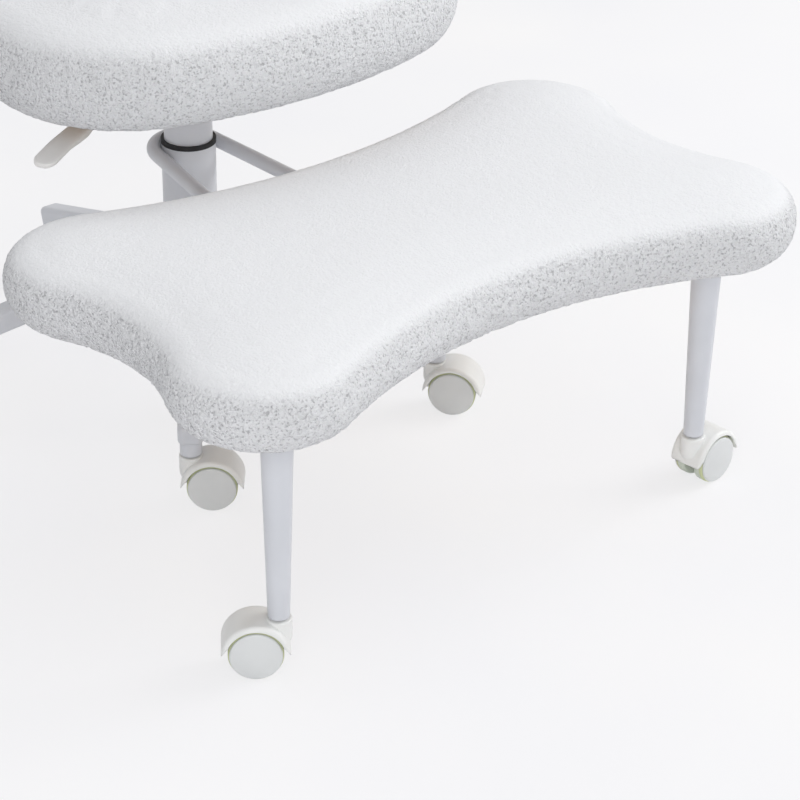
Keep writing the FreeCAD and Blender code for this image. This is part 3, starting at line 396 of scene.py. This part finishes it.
# %% Steel and plywood finishes
ZINC_TINTS = ((0.52, 0.52, 0.53), (0.62, 0.62, 0.61))
ZINC_GLOSS = (0.28, 0.48)
ZINC_CLOUDS = 70
ZINC_GLOSS_CLOUDS = 160
ZINC_SCALE = 1200
ZINC_DEPTH = 0.00003
ZINC_STRENGTH = 0.5
PLY_FIGURE = ((0.3, (0.40, 0.26, 0.13)), (0.5, (0.52, 0.36, 0.20)), (0.75, (0.60, 0.44, 0.27)))
PLY_FIGURE_SCALE = 30
PLY_STRETCH = (1, 9, 9)
PLY_LAYER = 0.0015
WAVE_TO_LAYER = 0.16
GLUE_LINE = (0.33, 0.21, 0.11)
GLUE_SHARE = 0.35
PLY_GLOSS = (0.55, 0.75)
PLY_GLOSS_CLOUDS = 80
PORE_SCALE = 120
PORE_DEPTH = 0.0002
PORE_STRENGTH = 0.6
MIX_FIRST, MIX_SECOND, MIX_RESULT = 6, 7, 2


def steel_finish():
    material, tree, shader = new_finish("steel", {"Metallic": 1.0})
    tint_grain = grain(tree, ZINC_CLOUDS, detail=4)
    clouded(tree, shader, ZINC_TINTS, tint_grain, ZINC_GLOSS, grain(tree, ZINC_GLOSS_CLOUDS, detail=4))
    relief(tree, shader, grain(tree, ZINC_SCALE), ZINC_DEPTH, ZINC_STRENGTH)
    return material


def plywood_finish():
    material, tree, shader = new_finish("plywood", {"Specular IOR Level": 0.3})
    long_grain = grain(tree, PLY_FIGURE_SCALE, detail=6, roughness=0.65, stretch=PLY_STRETCH)
    figure = ramp(tree, long_grain, *PLY_FIGURE)
    place = wire(tree, "ShaderNodeTexCoord").outputs["Object"]
    layers = wire(
        tree, "ShaderNodeTexWave",
        {"Vector": place, "Scale": WAVE_TO_LAYER / PLY_LAYER, "Distortion": 0.4},
        bands_direction="Z",
    )
    glue = spread(tree, layers.outputs["Fac"], 0.0, GLUE_SHARE)
    board = wire(
        tree, "ShaderNodeMix", {"Factor": glue, MIX_FIRST: figure, MIX_SECOND: (*GLUE_LINE, 1)},
        data_type="RGBA",
    )
    tree.links.new(board.outputs[MIX_RESULT], shader.inputs["Base Color"])
    tree.links.new(spread(tree, grain(tree, PLY_GLOSS_CLOUDS), *PLY_GLOSS), shader.inputs["Roughness"])
    pores = grain(tree, PORE_SCALE, detail=5, stretch=PLY_STRETCH)
    relief(tree, shader, pores, PORE_DEPTH, PORE_STRENGTH)
    return material


finishes["steel"] = steel_finish()
finishes["plywood"] = plywood_finish()
print("finishes so far:", ", ".join(sorted(finishes)))

# %% [markdown]
# ## Looped fleece
# The covers are a thick white fleece of short curled loops, two to four millimetres across. Seen close, the tips
# are white and the pits between them lie in shade, and here that shade is painted grey into the colour. The larger
# loops are made in the mesh further down, which leaves two numbers at each point: nub, its height in a loop, and
# pile, which sets how high the loops stand and how much painted pit shade shows. It is low on top and full down
# the sides, so the sides carry the darker painted shade that light from above leaves there. The finish reads both
# and adds the small curls: round cells for the loops and noise for loose fibre, with painted shade in their pits
# too.

# %% Fleece finish
# The tip colour is the fleece's own white; the two darker stops are painted shade for the pits between loops.
FLEECE_TIP = (0.86, 0.865, 0.88)
FLEECE_HALF_SHADE = (0.825, 0.825, 0.845)
FLEECE_PIT_SHADE = (0.56, 0.56, 0.575)
CURL_SIZE = 0.0027
FIBRE_SIZE = 0.0020
FIBRE_REACH = 0.5
CURL_DEPTH = 0.0014
PIT_FROM, PIT_TO = 0.42, 1.02
LARGE_PIT_FROM, LARGE_PIT_TO = 0.55, 1.0
LARGE_PIT_SHADE_SHARE = 0.5


def eased(tree, driver, low, high):
    """0 at the low number to 1 at the high one, easing in and out."""
    made = wire(
        tree, "ShaderNodeMapRange", {"Value": driver, "From Min": low, "From Max": high},
        interpolation_type="SMOOTHSTEP",
    )
    return made.outputs["Result"]


def stored(tree, name):
    return wire(tree, "ShaderNodeAttribute", attribute_name=name).outputs["Fac"]


def fleece_finish():
    material, tree, shader = new_finish(
        "fleece",
        {"Roughness": 0.95, "Specular IOR Level": 0.15, "Sheen Weight": 0.12, "Sheen Roughness": 0.6},
    )
    place = wire(tree, "ShaderNodeTexCoord").outputs["Object"]
    cells = wire(tree, "ShaderNodeTexVoronoi", {"Vector": place, "Scale": 1 / CURL_SIZE})
    fibre = spread(tree, grain(tree, 1 / FIBRE_SIZE, detail=2, roughness=0.6), -FIBRE_REACH, FIBRE_REACH)
    depth = summed(tree, fibre, cells.outputs["Distance"])
    # Painted shade in the pits between the small curls.
    small_pit_shade = eased(tree, depth, PIT_FROM, PIT_TO)
    # Painted shade at the low points of the mesh's loops, at half strength.
    sunk = summed(tree, 1.0, stored(tree, "nub"), "SUBTRACT")
    large_pit_shade = summed(tree, eased(tree, sunk, LARGE_PIT_FROM, LARGE_PIT_TO), LARGE_PIT_SHADE_SHARE, "MULTIPLY")
    # The painted pit shade is scaled by pile: a fifth on top, full down the sides.
    pit_shade = summed(tree, summed(tree, small_pit_shade, large_pit_shade, "MAXIMUM"), stored(tree, "pile"), "MULTIPLY")
    shade = ramp(tree, pit_shade, (0.0, FLEECE_TIP), (0.5, FLEECE_HALF_SHADE), (1.0, FLEECE_PIT_SHADE))
    tree.links.new(shade, shader.inputs["Base Color"])
    falling = summed(tree, summed(tree, depth, stored(tree, "pile"), "MULTIPLY"), -1.0, "MULTIPLY")
    relief(tree, shader, falling, CURL_DEPTH)
    return material


finishes["fleece"] = fleece_finish()
print("fleece loops shade from", FLEECE_PIT_SHADE, "to", FLEECE_TIP)

# %% [markdown]
# ## Dress the frame's own pieces
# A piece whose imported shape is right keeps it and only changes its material. The record names a slot
# for each, so one loop dresses them all.

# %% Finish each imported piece
def dress(piece, slot):
    piece.data.materials.clear()
    piece.data.materials.append(finishes[slot])


for node_name, piece in nodes.items():
    dress(piece, slot_of[node_name])
print(f"{len(nodes)} packed pieces dressed in {len(set(slot_of.values()))} finishes")

# %% [markdown]
# ## Padded covers
# Each cushion is a block of foam on a board, with the fleece pulled over it and stapled beneath. It
# could be modelled by hand, but foam under a stretched cover finds its own crown, so the cover is
# simulated: a copy of the plain solid becomes an even mesh, shrinks a little, and swells under
# pressure with its underside held. A cap keeps every point near the size the frame gives it.

# %% An even mesh of a solid
WELD = 0.00001


def vectors_of(mesh, field):
    """One row of three numbers for each point of the mesh."""
    flat = np.empty(len(mesh.vertices) * 3)
    mesh.vertices.foreach_get(field, flat)
    return flat.reshape(-1, 3)


def points_of(mesh):
    return vectors_of(mesh, "co")


def normals_of(mesh):
    return vectors_of(mesh, "normal")


def move_points(mesh, points):
    mesh.vertices.foreach_set("co", points.ravel())
    mesh.update()


def keep_result(piece):
    """Gives the piece the mesh that its modifiers make, and drops the modifiers."""
    graph = bpy.context.evaluated_depsgraph_get()
    result = bpy.data.meshes.new_from_object(piece.evaluated_get(graph))
    piece.modifiers.clear()
    piece.data = result


def even_copy(node, name, voxel):
    """A new piece with the node's form in small even faces."""
    shape = bmesh.new()
    shape.from_mesh(nodes[node].data)
    bmesh.ops.remove_doubles(shape, verts=shape.verts, dist=WELD)
    piece = piece_from(shape, name)
    remesh = piece.modifiers.new("even_faces", "REMESH")
    remesh.mode = "VOXEL"
    remesh.voxel_size = voxel
    keep_result(piece)
    piece.data.name = name
    return piece


print("solids can be copied as even meshes")

# %% [markdown]
# A free balloon would round off and draw its sides in. The real cover is stapled below and stretched
# round the sides, so a grip holds those and lets go towards the top. Only outward movement is kept,
# and it eases off at the cap.

# %% Swell under the cover
PRESSURE = 4.0
SETTLE_FRAMES = 20
GRIP_STEPS = 20


def swell(pad, grip, cap):
    """Blows the pad up for a moment, held by a grip of 0 to 1 at each point. Gives the rise at each."""
    start = points_of(pad.data)
    out = normals_of(pad.data)
    pinned = pad.vertex_groups.new(name="stapled")
    levels = np.round(grip * GRIP_STEPS).astype(int)
    for level in range(1, GRIP_STEPS + 1):
        pinned.add(np.flatnonzero(levels == level).tolist(), level / GRIP_STEPS, "REPLACE")
    cloth = pad.modifiers.new("cover", "CLOTH")
    cloth.settings.use_pressure = True
    cloth.settings.uniform_pressure_force = PRESSURE
    cloth.settings.effector_weights.gravity = 0
    cloth.settings.vertex_group_mass = pinned.name
    cloth.point_cache.frame_end = SETTLE_FRAMES
    for step in range(1, SETTLE_FRAMES + 1):
        scene.frame_set(step)
    graph = bpy.context.evaluated_depsgraph_get()
    moved = points_of(pad.evaluated_get(graph).data) - start
    pad.modifiers.clear()
    pad.vertex_groups.clear()
    scene.frame_set(1)
    outward = np.maximum((moved * out).sum(axis=1), 0)
    rise = cap * np.tanh(outward / cap)
    move_points(pad.data, start + out * rise[:, None])
    return rise


print(f"covers swell for {SETTLE_FRAMES} frames at pressure {PRESSURE:g}")

# %% [markdown]
# ## Loops of the pile
# Fleece loops are too many to place by hand and too round for a flat bump, so they are pushed out of
# the cover itself. Space is cut into small cells with one scattered centre in each, and a point rises
# as it nears a centre. That gives uneven domes with pits between them, the same on every run.

# %% Scattered domes on a surface
SCATTER_STEPS = (12.9898, 78.233, 37.719)
SCATTER_SIZE = 43758.5453
CELL_PRIMES = np.array((73856093, 19349663, 83492791), dtype=np.int64)
CELL_WRAP = 1000003
DOME_REACH = 0.95


def scattered(cells):
    """Three steady numbers from 0 to 1 for each cell."""
    seeds = (cells @ CELL_PRIMES) % CELL_WRAP
    parts = [np.sin(seeds * step) * SCATTER_SIZE for step in SCATTER_STEPS]
    return np.stack([part - np.floor(part) for part in parts], axis=1)


def domes(points, size):
    """0 in the pits to 1 on the tips of domes about that size."""
    places = points / size
    cells = np.floor(places).astype(np.int64)
    nearest = np.full(len(points), np.inf)
    for shift in itertools.product((-1, 0, 1), repeat=3):
        corner = cells + np.array(shift)
        away = np.linalg.norm(places - corner - scattered(corner), axis=1)
        nearest = np.minimum(nearest, away)
    return np.clip(1 - (nearest / DOME_REACH) ** 2, 0, 1)


print("pile domes ready")

# %% [markdown]
# A cover needs faces smaller than a loop before it can show one, so each face that shows is split once more and
# smoothed. The loops then rise along the surface's normals. On top they keep only a fifth of their height, and the
# finish paints only a fifth of the pit shade there, so the top reads lighter than the sides as it does under light
# from above.

# %% Fine faces and loops on a cover
LOOP_SIZE = 0.0039
LOOP_HEIGHT = 0.0022
CLUMP_SIZE = 0.011
CLUMP_HEIGHT = 0.0005
LOOP_SHARE = 0.75
HIDDEN_FACING = 0.75
SMOOTH_ROUNDS = 2
SMOOTH_FACTOR = 0.5
# The top keeps a fifth of its loop height and a fifth of its painted pit shade.
TOP_LOOP_AND_SHADE_CUT = 0.8
TOP_CUT_FROM, TOP_CUT_TO = 0.50, 0.96


def split_faces(pad, rest_direction):
    """Splits every face that shows into four, and smooths the cover."""
    shape = bmesh.new()
    shape.from_mesh(pad.data)
    shape.normal_update()
    showing = [face for face in shape.faces if face.normal.dot(rest_direction) < HIDDEN_FACING]
    edges = list({edge for face in showing for edge in face.edges})
    bmesh.ops.subdivide_edges(shape, edges=edges, cuts=1, use_grid_fill=True)
    for _ in range(SMOOTH_ROUNDS):
        bmesh.ops.smooth_vert(
            shape, verts=shape.verts, factor=SMOOTH_FACTOR,
            use_axis_x=True, use_axis_y=True, use_axis_z=True,
        )
    shape.to_mesh(pad.data)
    shape.free()
    pad.data.update()


def store(mesh, name, numbers):
    """Keeps a number at each point for the finish."""
    mesh.attributes.new(name, "FLOAT", "POINT").data.foreach_set("value", numbers.astype(np.float32))


def raise_loops(pad, rest_direction):
    """Pushes the loops out, less on top, and stores for the finish their height and how much painted pit shade
    shows.
    """
    points = points_of(pad.data)
    normals = normals_of(pad.data)
    upward = -normals @ np.array(rest_direction)
    topness = np.clip((upward - TOP_CUT_FROM) / (TOP_CUT_TO - TOP_CUT_FROM), 0, 1)
    # pile scales the loops' height here and, in the finish, the painted pit shade, so the sides are painted darker
    # than the top.
    pile = 1 - TOP_LOOP_AND_SHADE_CUT * topness ** 2 * (3 - 2 * topness)
    loops = domes(points, LOOP_SIZE)
    clumps = domes(points, CLUMP_SIZE)
    lift = pile * (LOOP_HEIGHT * (loops - loops.mean()) + CLUMP_HEIGHT * (clumps - clumps.mean()))
    move_points(pad.data, points + normals * lift[:, None])
    store(pad.data, "nub", LOOP_SHARE * loops + (1 - LOOP_SHARE) * clumps)
    store(pad.data, "pile", pile)


print(f"loops {LOOP_SIZE * 1000:.1f} mm across, {LOOP_HEIGHT * 1000:.1f} mm high")

# %% [markdown]
# ## The three cushions
# The stool, the seat and the backrest are all made this way. Each names the solid that it covers and
# the board that it lies on. The line from one to the other tells which side is stapled down.

# %% Make the covers
START_INSET = 0.003
SWELL_CAP = 0.005
FREE_FACING = -0.92
HELD_FACING = -0.35
LOOSE_GRIP = 0.5
CUSHIONS = {
    # new piece: (solid, board, body, voxel)
    "stool_cover": ("stool_cushion", "stool_board", "stool", 0.0040),
    "seat_cover": ("seat_cushion", "seat_board", "seat", 0.0042),
    "back_cover": ("back_cushion", "back_board", "seat", 0.0040),
}


def middle(node):
    low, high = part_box(node)
    return (low + high) / 2


def make_cover(name, solid, board, body, voxel):
    rest_direction = (middle(board) - middle(solid)).normalized()
    pad = even_copy(solid, name, voxel)
    facing = normals_of(pad.data) @ np.array(rest_direction)
    grip = np.clip((facing - FREE_FACING) / (HELD_FACING - FREE_FACING), 0, 1)
    inset = START_INSET * (1 - grip)[:, None]
    move_points(pad.data, points_of(pad.data) - normals_of(pad.data) * inset)
    rise = swell(pad, grip, SWELL_CAP)
    top_rise = rise[grip < LOOSE_GRIP].mean()
    print(f"{name}: top swells {top_rise * 1000:.1f} mm, at most {rise.max() * 1000:.1f}")
    split_faces(pad, rest_direction)
    raise_loops(pad, rest_direction)
    pad.data.shade_smooth()
    dress(pad, "fleece")
    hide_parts(solid)
    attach(pad, body)
    return pad


for cover_name, cover in CUSHIONS.items():
    made_cover = make_cover(cover_name, *cover)
    print(f"{cover_name}: {len(made_cover.data.polygons)} faces")

# %% [markdown]
# ## Caster wheels
# A twin-wheel caster has two cups on one axle, each closed by a plain domed disc, with a softer tread
# round its rim. A wheel is turned work, so its profile is drawn once, from the bore out over the
# tread to the middle of the disc, and spun. Radius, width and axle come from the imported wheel.

# %% Turn a profile about an axle
TURN_STEPS = 72


def spun(name, profile, middle_point, axis, materials):
    """Spins (radius, distance along, material number) points about an axle. Both ends lie on it."""
    across = axis.orthogonal().normalized()
    beside = axis.cross(across)
    shape = bmesh.new()
    rings = []
    for radius, along, _ in profile:
        hub = middle_point + axis * along
        count = TURN_STEPS if radius > 0 else 1
        turns = [math.tau * step / TURN_STEPS for step in range(count)]
        ring = [hub + (across * math.cos(turn) + beside * math.sin(turn)) * radius for turn in turns]
        rings.append([shape.verts.new(point) for point in ring])
    for (inner, outer), (_, _, material) in zip(zip(rings, rings[1:]), profile[1:]):
        for step in range(TURN_STEPS):
            follow = (step + 1) % TURN_STEPS
            corners = [inner[step % len(inner)], outer[step % len(outer)]]
            corners += [outer[follow % len(outer)], inner[follow % len(inner)]]
            face = shape.faces.new(list(dict.fromkeys(corners)))
            face.material_index = material
            face.smooth = True
    bmesh.ops.recalc_face_normals(shape, faces=shape.faces)
    piece = piece_from(shape, name)
    for material in materials:
        piece.data.materials.append(material)
    return piece


def arc(centre, radius, start, end, steps, material):
    """Profile points on an arc, with its angles in degrees from the radius direction to the axle's."""
    turns = [math.radians(start + (end - start) * step / steps) for step in range(steps + 1)]
    return [
        (centre[0] + radius * math.cos(turn), centre[1] + radius * math.sin(turn), material)
        for turn in turns
    ]


print(f"profiles turn in {TURN_STEPS} steps")

# %% [markdown]
# The disc is a separate cap on the real wheel: it stands a little inside the tread, with a narrow
# groove round it and a shallow dome. One profile with three materials shows all of that, and a
# rounded shoulder keeps the tread from looking cut with a knife.

# %% Wheels with a tread and a domed disc
DISC, TREAD, SHOULDER = 0, 1, 2
DISC_SETBACK = 0.0011
DISC_EDGE = 0.0022
DISC_DOME = 0.0009
GROOVE_WIDTH = 0.0007
GROOVE_DEPTH = 0.0010
TREAD_EDGE = 0.0018
SHOULDER_WIDTH = 0.0012
SHOULDER_TURN = 60
DISC_TURN = 80
TREAD_STEPS, SHOULDER_STEPS, DISC_STEPS, DOME_STEPS = 5, 4, 6, 6
BORE_GAP = 0.00005
SIDE_SLACK = 0.001


def measure_along(node, point, axis):
    """Lowest and highest distance of the node along an axis, and its greatest distance from it."""
    offsets = points_of(nodes[node].data) - np.array(point)
    along = offsets @ np.array(axis)
    out = np.linalg.norm(offsets - along[:, None] * np.array(axis), axis=1)
    return along.min(), along.max(), out.max()


def wheel_profile(radius, width, bore, depth):
    """From the end of the bore, over the tread, to the middle of the disc."""
    disc_radius = radius - DISC_SETBACK
    rim = width - DISC_DOME
    groove = rim - DISC_EDGE - GROOVE_WIDTH
    points = [(0, depth, DISC), (bore, depth, DISC), (bore, 0, DISC)]
    tread_radius = radius - TREAD_EDGE
    flat_radius = disc_radius - DISC_EDGE
    points += arc((tread_radius, TREAD_EDGE), TREAD_EDGE, -90, 0, TREAD_STEPS, TREAD)
    points += [(radius, groove - TREAD_EDGE - SHOULDER_WIDTH, TREAD)]
    shoulder_centre = (tread_radius, groove - TREAD_EDGE)
    # The shoulder and the groove wall take the darker olive finish, painted shade of the groove.
    points += arc(shoulder_centre, TREAD_EDGE, 0, SHOULDER_TURN, SHOULDER_STEPS, SHOULDER)
    points += [(disc_radius - GROOVE_DEPTH, groove, SHOULDER)]
    points += [(disc_radius - GROOVE_DEPTH, groove + GROOVE_WIDTH, DISC)]
    points += arc((flat_radius, rim - DISC_EDGE), DISC_EDGE, 0, DISC_TURN, DISC_STEPS, DISC)
    for step in range(1, DOME_STEPS + 1):
        share = step / DOME_STEPS
        points.append((flat_radius * (1 - share), rim + DISC_DOME * (1 - (1 - share) ** 2), DISC))
    points[-1] = (0, width, DISC)
    return points


def make_wheel(caster, side):
    node = f"{caster}_wheel_{side}"
    roll = joint_named[f"{caster}_roll_{side}"]
    centre = Vector(roll["pos_m"])
    axis = Vector(roll["axis"]).normalized()
    if measure_along(node, centre, axis)[1] <= SIDE_SLACK:
        axis = -axis
    start, end, radius = measure_along(node, centre, axis)
    _, axle_end, axle_radius = measure_along(f"{caster}_axle", centre, axis)
    profile = wheel_profile(radius, end - start, axle_radius + BORE_GAP, axle_end - start + BORE_GAP)
    wheel_finishes = [finishes[name] for name in ("wheel_plastic", "wheel_tread", "wheel_shoulder_groove_shade")]
    wheel = spun(f"{node}_turned", profile, centre + axis * start, axis, wheel_finishes)
    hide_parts(node)
    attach(wheel, body_of[node])


casters = sorted(name[: -len("_hood")] for name in nodes if name.endswith("_hood"))
for caster, side in itertools.product(casters, ("left", "right")):
    make_wheel(caster, side)
print(f"{len(casters)} casters with two turned wheels each")

# %% [markdown]
# ## Lever paddle
# The height lever ends in a moulded paddle: a round grip on the rod that flattens into a spoon. The
# frame holds it as a bar and a plate. A loft gives the flow between them: sections across the lever
# that start round and turn into flat ovals, each a little wider than the last, with a round end. The
# neck stays thick underneath where it leaves the seat, and the whole handle is bowed a little.

# %% Loft sections along the lever
PADDLE_STATIONS = (
    # share of the length, half width, half thickness and sink as shares of the blade's, squareness
    (0.00, 0.52, 2.50, 0.0, 2.0),
    (0.02, 0.58, 2.80, 0.0, 2.0),
    (0.24, 0.58, 2.80, 0.0, 2.0),
    (0.36, 0.78, 2.70, 0.6, 2.4),
    (0.48, 0.94, 2.40, 1.2, 3.0),
    (0.60, 1.00, 1.60, 0.8, 3.8),
    (0.72, 1.00, 1.05, 0.1, 4.5),
    (1.00, 1.00, 1.00, 0.0, 4.5),
)
PADDLE_SECTIONS = 48
SECTION_STEPS = 40
BLADE_HALF_WIDTH = 0.012
BLADE_HALF_THICKNESS = 0.0025
BLADE_DROOP = math.radians(2.8)
DROOP_FROM = 0.35
BLADE_BOW = 0.0035
TIP_LEAST = 0.02
RIM_SPAN = 0.001


def oval(half_width, half_thickness, squareness):
    """Points round a section, from an ellipse at squareness 2 to nearly a box above 4."""
    turns = [math.tau * step / SECTION_STEPS for step in range(SECTION_STEPS)]

    def bent(number):
        return math.copysign(abs(number) ** (2 / squareness), number)

    return [(half_width * bent(math.cos(turn)), half_thickness * bent(math.sin(turn))) for turn in turns]


def lever_axes():
    """The lever's pivot, and its directions outwards, across and up."""
    pivot = Vector(joint_named["lever_lift"]["pos_m"])
    rod = points_of(nodes["lever_rod"].data) - np.array(pivot)
    reach = np.linalg.norm(rod, axis=1)
    along = Vector(rod[reach > reach.max() - RIM_SPAN].mean(axis=0)).normalized()
    across = Vector(joint_named["lever_lift"]["axis"]).normalized()
    up = along.cross(across)
    return pivot, along, across, up if up.z > 0 else -up


def paddle_section(here, length):
    """The paddle's section at a distance from its inner end, and how far it has dropped by then."""
    shares, widths, thicknesses, sinks, corners = zip(*PADDLE_STATIONS)
    share = here / length
    half_width = BLADE_HALF_WIDTH * np.interp(share, shares, widths)
    half_thickness = BLADE_HALF_THICKNESS * np.interp(share, shares, thicknesses)
    to_tip = (length - here) / BLADE_HALF_WIDTH
    if to_tip < 1:
        half_width *= max(math.sqrt(1 - (1 - to_tip) ** 2), TIP_LEAST)
    to_edge = (length - here) / BLADE_HALF_THICKNESS
    if to_edge < 1:
        half_thickness *= max(math.sqrt(1 - (1 - to_edge) ** 2), TIP_LEAST)
    drop = max(here - DROOP_FROM * length, 0) * math.tan(BLADE_DROOP)
    drop += BLADE_HALF_THICKNESS * np.interp(share, shares, sinks)
    drop -= BLADE_BOW * 4 * share * (1 - share)
    return oval(half_width, half_thickness, np.interp(share, shares, corners)), drop


def lofted(name, rings):
    """A closed piece through rings of as many points each."""
    shape = bmesh.new()
    loops = [[shape.verts.new(point) for point in ring] for ring in rings]
    for loop, following in zip(loops, loops[1:]):
        for index, corner in enumerate(loop):
            after = (index + 1) % len(loop)
            shape.faces.new((corner, following[index], following[after], loop[after]))
    for end_loop in (loops[0], loops[-1]):
        shape.faces.new(end_loop)
    bmesh.ops.recalc_face_normals(shape, faces=shape.faces)
    piece = piece_from(shape, name)
    piece.data.shade_smooth()
    return piece


def make_paddle():
    """Lofts the paddle along the lever's rod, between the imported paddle's two ends."""
    pivot, along, across, up = lever_axes()
    start, end, _ = measure_along("lever_paddle", pivot, along)
    length = end - start
    rings = []
    for step in range(PADDLE_SECTIONS + 1):
        here = length * math.sin(math.pi / 2 * step / PADDLE_SECTIONS)
        section, drop = paddle_section(here, length)
        centre = pivot + along * (start + here) - up * drop
        rings.append([centre + across * y + up * z for y, z in section])
    paddle = lofted("lever_paddle_moulded", rings)
    dress(paddle, "lever_plastic")
    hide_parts("lever_paddle")
    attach(paddle, body_of["lever_paddle"])
    return length


print(f"paddle lofted over {make_paddle() * 1000:.0f} mm of the lever")
